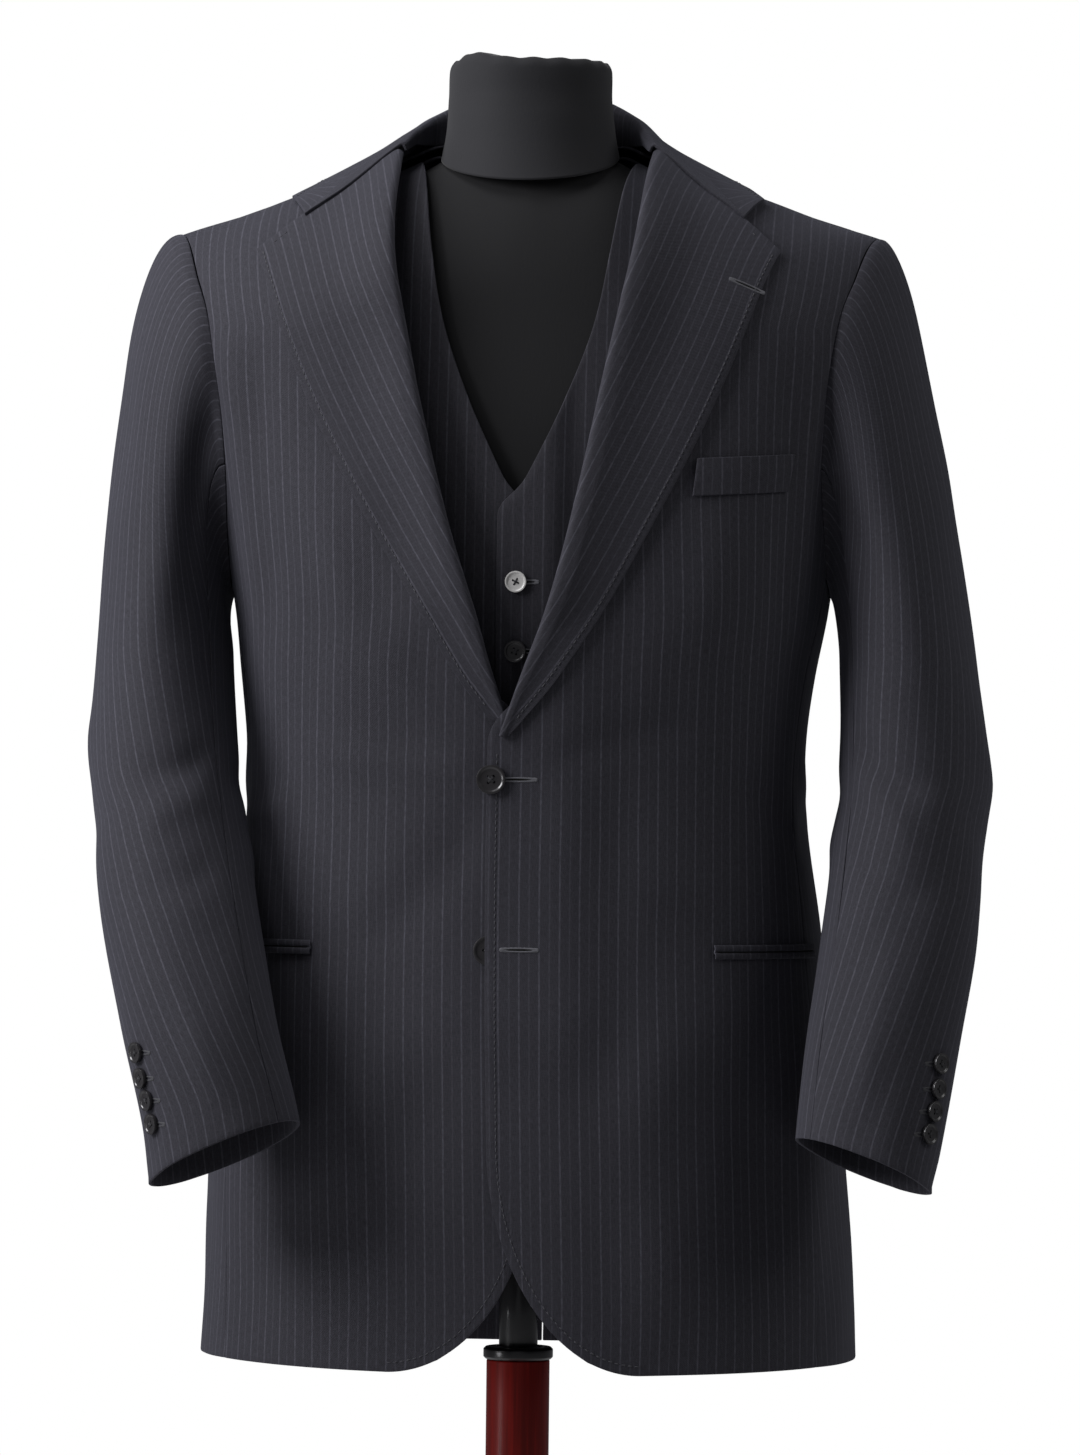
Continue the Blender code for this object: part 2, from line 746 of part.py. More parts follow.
def cuff_height(side, angle):
    """The cuff's edge is square to the bent arm, so it rises towards the body and forwards."""
    turn = math.radians(angle)
    cuff = SLEEVES[side][0]
    inwards = -CUFF_SLOPE[side] * cuff.half_width * math.cos(turn)
    forwards = CUFF_PITCH * cuff.half_depth * math.sin(turn)
    return CUFF_HEIGHT[side] + inwards + forwards


def sleeve_angle(side, column, height):
    """The oval's angle at a column of the armhole's ring: the two seams keep to their own lines."""
    count = len(ring_places())
    rear = through(SLEEVES[side], height, "rear_seam")
    if TOP_SLEEVE_START <= column <= TOP_SLEEVE_END:
        share = (column - TOP_SLEEVE_START) / (TOP_SLEEVE_END - TOP_SLEEVE_START)
        return mix(FRONT_SEAM, rear, share)
    share = (column - TOP_SLEEVE_END) / (count - TOP_SLEEVE_END + TOP_SLEEVE_START)
    return mix(rear, FRONT_SEAM - 360, share)


def sleeve_point(side, column, down):
    """The sleeve's outer surface: a cap that leaves the armhole, then ovals down to the cuff."""
    places = ring_places()
    count = len(places)
    column = column % count
    first = int(column) % count
    where = places[first].lerp(places[(first + 1) % count], column - int(column))
    if column < TOP_SLEEVE_START:
        column += count
    if down > CAP_SHARE:
        share = (down - CAP_SHARE) / (1 - CAP_SHARE)
        angle = sleeve_angle(side, column, BICEP)
        height = mix(BICEP, cuff_height(side, angle), share)
        angle = sleeve_angle(side, column, height)
        height = mix(BICEP, cuff_height(side, angle), share)
        return sleeve_section(side, height, angle)
    start = body_point(JACKET, where.x, where.y)
    start.x += SEAM_GAP + side * through(SWAY, start.z, "across")
    outwards = body_normal(JACKET, where.x, where.y)
    angle = sleeve_angle(side, column, BICEP)
    end = sleeve_section(side, BICEP, angle)
    lower = sleeve_section(side, BICEP - STEP, sleeve_angle(side, column, BICEP - STEP))
    reach = (end - start).length
    under = below(CAP_FADE, start.z)
    leave = Vector((1, 0, -CAP_FALL * under)) + outwards * CAP_SPREAD * (1 - under)
    arrive = (lower - end).normalized()
    part = down / CAP_SHARE
    rest = 1 - part
    point = start * (1 + 2 * part) * rest**2 + end * part**2 * (3 - 2 * part)
    point += leave * (CAP_FULLNESS[side] * reach * part * rest**2)
    return point - arrive * (CAP_ARRIVAL * reach * part**2 * rest)


def sleeve_normal(side, column, down):
    low, high = max(down - STEP, 0.0), min(down + STEP, 1.0)
    turning = sleeve_point(side, column + RING_STEP, down) - sleeve_point(side, column - RING_STEP, down)
    falling = sleeve_point(side, column, high) - sleeve_point(side, column, low)
    return falling.cross(turning).normalized()


def sleeve(side, name, first, last):
    """One of a sleeve's two pieces, between two columns of the armhole's ring."""
    columns = last - first

    def place(u, v):
        down = 1 - v
        column = first + u * columns
        column += RING_SEAM * (1 - 2 * u)
        outer = sleeve_point(side, column, down)
        inner = outer - sleeve_normal(side, column, down) * CLOTH
        return [mirrored(point, side) for point in (outer, inner)]

    plate(name, columns, SLEEVE_ROWS, place, CHARCOAL)


# The collar's left half, from the back centre to the gorge. Each station has the foot of its stand, its
# fold, the middle of its leaf and the leaf's edge
Station = namedtuple("Station", "share foot fold middle edge")
Keyed = namedtuple("Keyed", "key x y z")
COLLAR = [
    Station(0.00, (0.0, 0.052, 1.542), (0.0, 0.063, 1.578), (0.0, 0.070, 1.557), (0.0, 0.071, 1.531)),
    Station(0.22, (0.037, 0.044, 1.543), (0.038, 0.055, 1.574), (0.047, 0.064, 1.553), (0.054, 0.068, 1.525)),
    Station(0.45, (0.064, 0.023, 1.542), (0.065, 0.030, 1.560), (0.082, 0.042, 1.542), (0.102, 0.046, 1.519)),
    Station(0.65, (0.072, 0.002, 1.541), (0.072, 0.002, 1.552), (0.094, 0.005, 1.535), (0.126, 0.013, 1.517)),
    Station(0.82, (0.075, -.018, 1.540), (0.075, -.019, 1.547), (0.099, -.015, 1.533), (0.141, -.004, 1.512)),
]
COLLAR_COLUMNS = 20
GORGE_GAP = SEAM_GAP + 0.001
NOTCH_GAP = SEAM_GAP + 0.0015
STAND_SINK = 0.004
COLLAR_ROWS = 8
PROFILE_ROWS = (2, 3, 3)


def collar_half_point(share, v):
    """The collar's outer surface on the wearer's left, from its stand's foot over the fold to its edge."""
    total = sum(PROFILE_ROWS)
    step = v * total
    last = COLLAR[-1].share
    if share > last:
        end = collar_end(step)[0]
        before = collar_station(last, step)
        part = (share - last) / (1 - last)
        return before.lerp(end, ease(part) * 0.5 + part * 0.5)
    return collar_station(share, step)


def collar_station(share, step):
    keys = [station.share for station in COLLAR]
    points = []
    for column in ("foot", "fold", "middle", "edge"):
        rows = [Keyed(key, *getattr(station, column)) for key, station in zip(keys, COLLAR)]
        points.append(Vector([through(rows, share, axis) for axis in ("x", "y", "z")]))
    marks = [0]
    for rows in PROFILE_ROWS:
        marks.append(marks[-1] + rows)
    rows = [Keyed(mark, *point) for mark, point in zip(marks, points)]
    return Vector([through(rows, step, axis) for axis in ("x", "y", "z")])


def collar_end(step):
    """The collar's front end: down its stand, along the gorge to the notch, then to the leaf's corner."""
    first, second, third = PROFILE_ROWS
    top = Edge(GORGE_END.rise + GORGE_GAP, GORGE_END.across)
    notch = Edge(NOTCH.rise + NOTCH_GAP, NOTCH.across)
    if step <= first:
        edge = top
        sink = STAND_SINK * (1 - step / first)
    elif step <= first + second:
        part = (step - first) / second
        edge = Edge(mix(top.rise, notch.rise, part), mix(top.across, notch.across, part))
        sink = 0.0
    else:
        part = (step - first - second) / third
        edge = Edge(mix(notch.rise, COLLAR_CORNER.rise, part), mix(notch.across, COLLAR_CORNER.across, part))
        sink = 0.0
    angle = angle_at(JACKET, edge.across, edge.rise)
    swell = LAPEL_SWELL * (1 - min(max(step - first, 0) / (second + third), 1)) ** 3
    lift = ROLL_LIFT * ease(1 - (edge.across - GORGE_END.across) / ROLL_REACH) + CLOTH + LAYER_GAP + swell
    outwards = body_normal(JACKET, angle, edge.rise)
    outer = body_point(JACKET, angle, edge.rise) + outwards * (lift - sink)
    return outer, outer - outwards * CLOTH


def collar(name):
    def point_at(u, v):
        share = 2 * u - 1
        side = 1 if share >= 0 else -1
        point = collar_half_point(abs(share), v)
        return mirrored(point, side)

    def place(u, v):
        turning = point_at(min(u + STEP, 1), v) - point_at(max(u - STEP, 0), v)
        rising = point_at(u, min(v + STEP, 1)) - point_at(u, max(v - STEP, 0))
        outer = point_at(u, v)
        if u in (0, 1):
            side = 2 * u - 1
            return [mirrored(point, side) for point in collar_end(v * sum(PROFILE_ROWS))]
        return [outer, outer + turning.cross(rising).normalized() * CLOTH]

    plate(name, COLLAR_COLUMNS, COLLAR_ROWS, place, CHARCOAL)


def waistcoat_lift(side, angle, rise):
    across = body_point(FORM, angle, rise).x
    over = WAISTCOAT_LIFT * below(WAISTCOAT_FADE, across) if side > 0 else 0.0
    return WAISTCOAT_OUT + over


def waistcoat_hole(part):
    """The waistcoat's armhole, from the underarm to the shoulder."""
    across = WAISTCOAT_ARMHOLE[-1].across
    top = ridge_rise(FORM, across, WAISTCOAT_OUT) - SEAM_GAP / 2
    rise = mix(WAISTCOAT_UNDERARM, top, part**1.5)
    place = place_of(FORM, Edge(rise, through(WAISTCOAT_ARMHOLE, rise, "across")), WAISTCOAT_OUT)
    corner = QUARTER - place_of(FORM, WAISTCOAT_ARMHOLE[0], WAISTCOAT_OUT).x
    return place + Vector((corner * (1 - ease(part * 3)), 0))


def waistcoat_front(side, name):
    centre = place_of(FORM, Edge(WAISTCOAT_CENTRE, -WAISTCOAT_OVERLAP))
    point = place_of(FORM, WAISTCOAT_POINT)
    low = Vector((QUARTER, WAISTCOAT_SIDE))
    neck = WAISTCOAT_OVERLAP + NECKLINE[0].across
    gap = Vector((FORM_SEAM, 0))

    def edge(part):
        return place_of(FORM, Edge(mix(WAISTCOAT_CENTRE, NECKLINE_START, part), -WAISTCOAT_OVERLAP))

    def neckline(part):
        top = ridge_rise(FORM, NECKLINE[-1].across, WAISTCOAT_OUT) - SEAM_GAP / 2
        rise = mix(NECKLINE_START, top, part)
        across = through(NECKLINE, rise, "across") - neck * (1 - ease(part * 12))
        return place_of(FORM, Edge(rise, across), WAISTCOAT_OUT)

    left = piecewise([(WAISTCOAT_EDGE_ROWS, edge), (WAISTCOAT_NECK_ROWS, neckline)])
    side_rows = straight(low, (QUARTER, WAISTCOAT_UNDERARM))
    hole_rows = WAISTCOAT_EDGE_ROWS + WAISTCOAT_NECK_ROWS - WAISTCOAT_SIDE_ROWS
    right_edge = piecewise([(WAISTCOAT_SIDE_ROWS, side_rows), (hole_rows, waistcoat_hole)])
    right = lambda part: right_edge(part) - gap
    hem = piecewise([(2, straight(centre, point)), (WAISTCOAT_COLUMNS - 2, straight(point, right(0)))])
    ridge = shoulder_seam(NECKLINE[-1].across, WAISTCOAT_ARMHOLE[-1].across, WAISTCOAT_OUT, FORM)
    start = left(1) - ridge(0)
    end = right(1) - ridge(1)
    shoulder = lambda part: ridge(part) + start.lerp(end, part)
    where = patch(hem, shoulder, left, right)
    lift = lambda angle, rise: waistcoat_lift(side, angle, rise)
    rows = WAISTCOAT_EDGE_ROWS + WAISTCOAT_NECK_ROWS
    plate(name, WAISTCOAT_COLUMNS, rows, on_body(FORM, where, side, lift), DARK_CHARCOAL)


def waistcoat_back(name):
    """One piece from side seam to side seam, over the shoulders and under the back of the neck."""
    gap = FORM_SEAM
    side_rows = straight((QUARTER, WAISTCOAT_SIDE), (QUARTER, WAISTCOAT_UNDERARM))
    hole_rows = WAISTCOAT_EDGE_ROWS + WAISTCOAT_NECK_ROWS - WAISTCOAT_SIDE_ROWS
    edge = piecewise([(WAISTCOAT_SIDE_ROWS, side_rows), (hole_rows, waistcoat_hole)])
    first = lambda part: turned_back(edge(part)) + Vector((gap, 0))
    last = lambda part: Vector((2 * math.pi - first(part).x, first(part).y))
    neck_across = NECKLINE[-1].across
    neck = back_neck(FORM, BACK_CENTRE, neck_across, WAISTCOAT_BACK_NECK, WAISTCOAT_OUT)

    ridge = shoulder_seam(WAISTCOAT_ARMHOLE[-1].across, neck_across, WAISTCOAT_OUT, FORM)
    end = first(1) - turned_back(ridge(0))

    def half_top(part):
        if part < 0.5:
            return turned_back(ridge(part * 2)) + end * (1 - part * 2)
        return neck(2 - 2 * part)

    def top(part):
        if part <= 0.5:
            return half_top(part * 2)
        place = half_top(2 - 2 * part)
        return Vector((2 * math.pi - place.x, place.y))

    where = patch(straight(first(0), last(0)), top, first, last)
    rows = WAISTCOAT_SIDE_ROWS + hole_rows
    lift = lambda *_: WAISTCOAT_OUT
    plate(name, WAISTCOAT_BACK_COLUMNS, rows, on_body(FORM, where, 1, lift), DARK_CHARCOAL)


def strip_on_front(name, side, corners, rows_columns, base, thickness):
    """A narrow piece sewn on a jacket front, between a lower and an upper pair of places."""
    low_first, low_last, high_first, high_last = corners
    left = straight(low_first, high_first)
    right = straight(low_last, high_last)
    where = patch(straight(low_first, low_last), straight(high_first, high_last), left, right)
    lift = lambda angle, rise: front_lift(side, angle, rise) + base + thickness
    columns, rows = rows_columns
    plate(name, columns, rows, on_body(JACKET, where, side, lift, thickness), CHARCOAL)


def pockets():
    inner = place_of(JACKET, WELT_INNER)
    outer = place_of(JACKET, WELT_OUTER)
    drop = Vector((0, -WELT_DEPTH))
    corners = (inner + drop, outer + drop, inner, outer)
    strip_on_front("breast_welt", 1, corners, (5, 2), LAYER_GAP, WELT_THICKNESS)
    for side, word in ((1, "left"), (-1, "right")):
        low = JET_HEIGHT - JET_DEPTH / 2
        high = JET_HEIGHT + JET_DEPTH / 2
        corners = ((JET_START, low), (JET_END, low), (JET_START, high), (JET_END, high))
        corners = [Vector(corner) for corner in corners]
        strip_on_front(f"pocket_jet_{word}", side, corners, (7, 1), LAYER_GAP, WELT_THICKNESS)


def turned(name, profile, steps, colour, roughness, metallic=0.0):
    """A turned piece: its profile, down its outer side, goes once round the Z axis."""
    mesh = bpy.data.meshes.new(name)
    edges = [(i, i + 1) for i in range(len(profile) - 1)]
    mesh.from_pydata([(radius, 0, height) for radius, height in profile], edges, [])
    made = bpy.data.objects.new(name, mesh)
    bpy.data.collections["Suit on dress form"].objects.link(made)
    screw = made.modifiers.new("Turned", "SCREW")
    screw.steps = steps
    screw.render_steps = steps
    screw.use_merge_vertices = True
    screw.merge_threshold = 0.0001
    mesh.materials.append(make_material(name, colour, roughness, metallic))
    return made


def button(name, kind, panel, point, colour):
    """A round button with a raised rim, its back just clear of the panel that it is sewn to."""
    radius, high = kind
    carrier = bpy.data.objects[panel]
    _, point, normal, _ = carrier.closest_point_on_mesh(point)
    profile = [
        (0.0, high * 0.62),
        (radius * 0.62, high * 0.62),
        (radius * 0.76, high),
        (radius * 0.92, high * 0.92),
        (radius, high * 0.55),
        (radius * 0.80, 0.0),
        (0.0, 0.0),
    ]
    made = turned(name, profile, BUTTON_SIDES, colour, 0.35)
    gap = CUFF_BUTTON_GAP if kind is CUFF_BUTTON else BUTTON_GAP
    made.location = point + normal * gap
    made.rotation_mode = "QUATERNION"
    made.rotation_quaternion = normal.to_track_quat("Z", "Y")
    return made


def buttons():
    bpy.context.view_layer.update()
    for word, rise, side in (("upper", UPPER_BUTTON, "left"), ("lower", LOWER_BUTTON, "right")):
        point = body_point(JACKET, BUTTON_ANGLE, rise, BUTTON_REACH)
        button(f"jacket_button_{word}", JACKET_BUTTON, f"jacket_front_{side}", point, HORN)
    for number in range(WAISTCOAT_BUTTONS):
        rise = WAISTCOAT_BUTTON_TOP - WAISTCOAT_BUTTON_PITCH * number
        angle = angle_at(FORM, WAISTCOAT_BUTTON_ACROSS, rise)
        point = body_point(FORM, angle, rise, BUTTON_REACH)
        colour = PEARL if number == 0 else HORN
        button(f"waistcoat_button_{number + 1}", WAISTCOAT_BUTTON, "waistcoat_front_left", point, colour)
    for side, word in ((1, "left"), (-1, "right")):
        for number in range(CUFF_BUTTONS):
            height = cuff_height(side, CUFF_BUTTON_ANGLE) + CUFF_BUTTON_START + CUFF_BUTTON_PITCH * number
            point = sleeve_section(side, height, CUFF_BUTTON_ANGLE)
            point = Vector(((point.x + BUTTON_REACH) * side, point.y, point.z))
            button(f"cuff_button_{word}_{number + 1}", CUFF_BUTTON, f"top_sleeve_{word}", point, HORN)


def neck_ring(ring, angle, grow=0.0):
    """A point of the neck's oval. Its lowest ring dips to the front and the back, as the seam does."""
    x = (ring.half_width + grow) * math.sin(angle)
    y = ring.forward - (ring.half_depth + grow) * math.cos(angle)
    height = ring.height - NECK_SADDLE * abs(y) * below(SADDLE_FADE, ring.height)
    if ring.height > BUMP_FROM:
        height += NECK_BUMP * math.exp(-(((angle - BUMP_ANGLE) / BUMP_WIDTH) ** 2))
    return Vector((x, y, height))


def neck_mesh(grow=0.0, drop=0.0):
    """The neck's closed column, or the same a little larger, to cut its seat in the torso."""
    build = bmesh.new()
    loops = []
    for ring in NECK_RINGS:
        angles = [2 * math.pi * i / NECK_SIDES for i in range(NECK_SIDES)]
        loops.append([build.verts.new(neck_ring(ring, a, grow) - Vector((0, 0, drop))) for a in angles])
    for low, high in zip(loops, loops[1:]):
        for i in range(NECK_SIDES):
            j = (i + 1) % NECK_SIDES
            build.faces.new((low[i], low[j], high[j], high[i]))
    foot = NECK_RINGS[0].height - NECK_FOOT - drop
    for loop, height in ((loops[0], foot), (loops[-1], NECK_RINGS[-1].height)):
        middle = build.verts.new((0, 0, height))
        for i in range(NECK_SIDES):
            build.faces.new((loop[i], loop[(i + 1) % NECK_SIDES], middle))
    return build


def dress_form():
    def place(u, v):
        angle = mix(-QUARTER, QUARTER, u)
        across = abs(body_point(FORM, angle, SHOULDER_RISE).x)
        rise = mix(TORSO_BOTTOM, ridge_rise(FORM, across, -TORSO_EASE) - RIDGE_GAP, v)
        front = body_point(FORM, angle, rise, -TORSO_EASE)
        back = body_point(FORM, math.pi - angle, rise, -TORSO_EASE)
        return [front, back]

    torso = plate("form_torso", TORSO_COLUMNS, TORSO_ROWS, place, JERSEY, 0.8, weld=True)
    seat = add_object("neck_seat", neck_mesh(SEAM_GAP, SEAM_GAP), JERSEY, 0.8)
    seat.hide_render = True
    seat.display_type = "WIRE"
    cut = torso.modifiers.new("Neck seat", "BOOLEAN")
    cut.operation = "DIFFERENCE"
    cut.object = seat
    add_object("form_neck", neck_mesh(), JERSEY, 0.8)


def stand():
    foot = BASE_THICKNESS
    stem = [(0, TORSO_BOTTOM - SEAM_GAP), (STEM_RADIUS, TORSO_BOTTOM - SEAM_GAP)]
    stem += [(STEM_RADIUS, RING_TOP + SEAM_GAP), (0, RING_TOP + SEAM_GAP)]
    turned("stand_stem", stem, STEM_STEPS, BLACK_METAL, 0.35, 1.0)
    flat = RING_RADIUS - RING_EDGE
    ring = [(0, RING_TOP), (flat, RING_TOP), (RING_RADIUS, RING_TOP - RING_EDGE)]
    ring += [(RING_RADIUS, RING_BOTTOM + RING_EDGE), (flat, RING_BOTTOM), (0, RING_BOTTOM)]
    turned("stand_ring", ring, TURNED_STEPS, BLACK_METAL, 0.3, 1.0)
    top = RING_BOTTOM - SEAM_GAP
    post = [(0, top), (POST_RADIUS, top), (POST_RADIUS, foot + SEAM_GAP), (0, foot + SEAM_GAP)]
    turned("stand_post", post, TURNED_STEPS, MAHOGANY, 0.25)
    base = [
        (0, foot),
        (BASE_RADIUS * 0.30, foot),
        (BASE_RADIUS * 0.86, foot * 0.72),
        (BASE_RADIUS * 0.97, foot * 0.52),
        (BASE_RADIUS, foot * 0.30),
        (BASE_RADIUS, 0.0),
        (0, 0.0),
    ]
    turned("stand_base", base, BASE_STEPS, MAHOGANY, 0.25)


def clear_scene():
    for item in list(bpy.data.objects):
        bpy.data.objects.remove(item, do_unlink=True)
    collection = bpy.data.collections.new("Suit on dress form")
    bpy.context.scene.collection.children.link(collection)


def main():
    clear_scene()
    count = len(ring_places())
    for side, word in ((1, "left"), (-1, "right")):
        jacket_front(side, f"jacket_front_{word}")
        jacket_side(side, f"jacket_side_{word}")
        jacket_back(side, f"jacket_back_{word}")
        lapel(side, f"lapel_{word}")
        sleeve(side, f"top_sleeve_{word}", TOP_SLEEVE_START, TOP_SLEEVE_END)
        sleeve(side, f"under_sleeve_{word}", TOP_SLEEVE_END, TOP_SLEEVE_START + count)
        waistcoat_front(side, f"waistcoat_front_{word}")
    collar("collar")
    waistcoat_back("waistcoat_back")
    pockets()
    buttons()
    dress_form()
    stand()


main()
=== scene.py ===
"""The looks of a suit jacket and its waistcoat on a dress form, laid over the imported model.

Metres, +Z up, in the model's own frame: the wearer faces -Y, so +X is the wearer's left.
A place on a worn shape is an angle round it, from the front centre towards the wearer's left, and a rise.
The rise is the height up to the shoulders, and there it goes on along the cloth up to their ridge.
Places and points come as arrays, their last axis the coordinates, so that a whole panel is laid at once.
"""

import math
from collections import namedtuple

import bmesh
import bpy
import numpy as np
from mathutils import Matrix, Vector


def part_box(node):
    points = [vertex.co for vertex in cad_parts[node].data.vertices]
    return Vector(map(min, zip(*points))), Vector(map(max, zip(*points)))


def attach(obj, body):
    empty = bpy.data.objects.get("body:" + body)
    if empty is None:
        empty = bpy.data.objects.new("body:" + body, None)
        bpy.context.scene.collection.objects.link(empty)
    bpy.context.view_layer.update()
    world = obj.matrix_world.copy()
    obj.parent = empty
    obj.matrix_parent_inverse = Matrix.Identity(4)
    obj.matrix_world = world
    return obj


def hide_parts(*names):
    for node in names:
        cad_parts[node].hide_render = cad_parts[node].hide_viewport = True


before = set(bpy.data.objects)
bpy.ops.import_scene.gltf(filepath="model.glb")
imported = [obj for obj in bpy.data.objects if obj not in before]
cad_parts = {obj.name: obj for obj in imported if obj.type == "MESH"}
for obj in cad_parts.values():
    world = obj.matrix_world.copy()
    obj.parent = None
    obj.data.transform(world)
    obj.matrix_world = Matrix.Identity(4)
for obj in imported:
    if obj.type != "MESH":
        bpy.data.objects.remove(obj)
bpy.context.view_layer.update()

# Cloth and clearances
CLOTH = 0.002
SEAM_GAP = 0.0003
LAYER_GAP = 0.0008
FOLDED_EDGE = 0.0007
EDGE_SHARE = 0.35
EDGE_ANGLE = math.radians(50)

# Body shape
ROUNDNESS = 2.5
SHOULDER_CURVE = 0.10
QUARTER = math.pi / 2
BACK_CENTRE = 0.0004
STEP = 0.02
SIDES = ((1, "left"), (-1, "right"))

Section = namedtuple("Section", "height half_width front back")
Ridge = namedtuple("Ridge", "across height")
Edge = namedtuple("Edge", "rise across")
Shape = namedtuple("Shape", "sections below_ridge")

SHOULDER_RIDGE = [
    Ridge(0.000, 1.560),
    Ridge(0.050, 1.548),
    Ridge(0.075, 1.535),
    Ridge(0.110, 1.5205),
    Ridge(0.150, 1.5075),
    Ridge(0.190, 1.4930),
    Ridge(0.226, 1.4815),
    Ridge(0.260, 1.470),
]
JACKET = Shape(
    [
        Section(0.760, 0.2110, 0.150, 0.128),
        Section(0.860, 0.2052, 0.147, 0.126),
        Section(0.950, 0.2000, 0.142, 0.120),
        Section(1.037, 0.1910, 0.133, 0.098),
        Section(1.137, 0.1797, 0.128, 0.090),
        Section(1.247, 0.1922, 0.133, 0.107),
        Section(1.350, 0.2120, 0.122, 0.115),
        Section(1.450, 0.2380, 0.105, 0.105),
        Section(1.560, 0.2420, 0.088, 0.088),
    ],
    0.0,
)
FORM = Shape(
    [
        Section(0.850, 0.1650, 0.108, 0.092),
        Section(0.950, 0.1760, 0.120, 0.098),
        Section(1.037, 0.1700, 0.115, 0.083),
        Section(1.137, 0.1600, 0.112, 0.075),
        Section(1.247, 0.1760, 0.118, 0.091),
        Section(1.350, 0.1850, 0.109, 0.101),
        Section(1.450, 0.1880, 0.090, 0.090),
        Section(1.560, 0.1880, 0.078, 0.078),
    ],
    0.0102,
)

# The jacket hangs a little to the wearer's left of its form
Sway = namedtuple("Sway", "height across")
SWAY = [
    Sway(0.759, 0.0068),
    Sway(0.800, 0.0070),
    Sway(0.860, 0.0054),
    Sway(0.950, 0.0030),
    Sway(1.060, 0.0012),
    Sway(1.150, 0.0015),
    Sway(1.200, 0.0020),
    Sway(1.240, 0.0036),
    Sway(1.300, 0.0018),
    Sway(1.380, 0.0000),
]

# Jacket seams and edges, with each edge's distance from the centre
HEM = 0.759
SIDE_HEM = 0.7615
UNDERARM = 1.262
UNDERARM_DIP = 0.012
NECK_POINT = 0.078
SHOULDER_POINT = 0.226
BACK_NECK = 1.537
NECK_ROUNDING = 4
OVERLAP = 0.015
CUTAWAY_TOP = 0.900
CUTAWAY_WIDTH = 0.095
CUTAWAY_TURN = math.radians(70)
BREAK_POINT = 1.155
ROLL_START = BREAK_POINT - 0.006
SIDE_SEAM_HEM = math.radians(60)
SIDE_SEAM_TOP = math.radians(78)
BACK_SEAM_HEM = math.radians(118)
BACK_SEAM_TOP = math.radians(103)
SEAM_TURN = SEAM_GAP / 2 / 0.19

ARMHOLE = [
    Edge(1.2620, 0.190),
    Edge(1.3150, 0.190),
    Edge(1.3500, 0.191),
    Edge(1.3850, 0.194),
    Edge(1.4290, 0.202),
    Edge(1.4630, 0.212),
    Edge(1.5385, 0.226),
]
ROLL_LINE = [
    Edge(1.1550, -0.0060),
    Edge(1.2264, 0.0176),
    Edge(1.2950, 0.0377),
    Edge(1.4064, 0.0625),
    Edge(1.4665, 0.0735),
    Edge(1.5370, 0.0765),
    Edge(1.5910, 0.0780),
]
LAPEL_EDGE = [
    Edge(1.1550, -0.0020),
    Edge(1.2000, 0.0340),
    Edge(1.3050, 0.0960),
    Edge(1.3900, 0.1370),
    Edge(1.4738, 0.1667),
]
NOTCH = Edge(1.4980, 0.1395)
GORGE_END = Edge(1.5570, 0.0768)
COLLAR_CORNER = Edge(1.5300, 0.1510)
LAPEL_SHIFT = {1: -0.004, -1: 0.004}
LAPEL_START = {1: 1.160, -1: 1.168}

# Heights of the layers over the jacket's own surface
OVERLAP_LIFT = 0.0062
HEM_LIFT = 0.0030
ROLL_LIFT = 0.0045
ROLL_REACH = 0.045
ROLL_INSET = 0.0085
PRESSED_ROLL = 0.30
INSET_END = 0.05
ROLL_ENTRY = 9
PULL_START = 0.72
LAPEL_SWELL = 0.0035
LAPEL_OPENING = 0.03
FACING_HEM = 0.035
FACING_WIDTH = 0.075
FACING_FLARE = 0.05

# Where a shape starts to fade, and how far on it is gone or whole
Fade = namedtuple("Fade", "start reach")
SHIFT_FADE = Fade(1.560, 0.120)
ROLL_FADE = Fade(BREAK_POINT, 0.110)
BREAK_FADE = Fade(BREAK_POINT, 0.060)
INSET_FADE = Fade(BREAK_POINT, 0.030)
HEM_FADE = Fade(0.930, 0.060)
OVERLAP_FADE = Fade(1.270, 0.080)
EDGE_FADE = Fade(0.075, 0.050)
CREASE_FADE = Fade(0.004, 0.030)
FLARE_FADE = Fade(1.100, 0.300)
CAP_FADE = Fade(1.330, 0.080)

# Grid steps of the model's panels, and how many finer steps each is cut into here
CUTAWAY_ROWS = 3
EDGE_ROWS = 5
ROLL_ROWS = 11
SEAM_ROWS = 11
ARMHOLE_ROWS = 8
FRONT_COLUMNS = 10
SIDE_COLUMNS = 4
BACK_COLUMNS = 9
LAPEL_ROWS = 13
LAPEL_COLUMNS = 8
FOLD_STEPS = 3
GORGE_COLUMNS = 3
SLEEVE_ROWS = 12

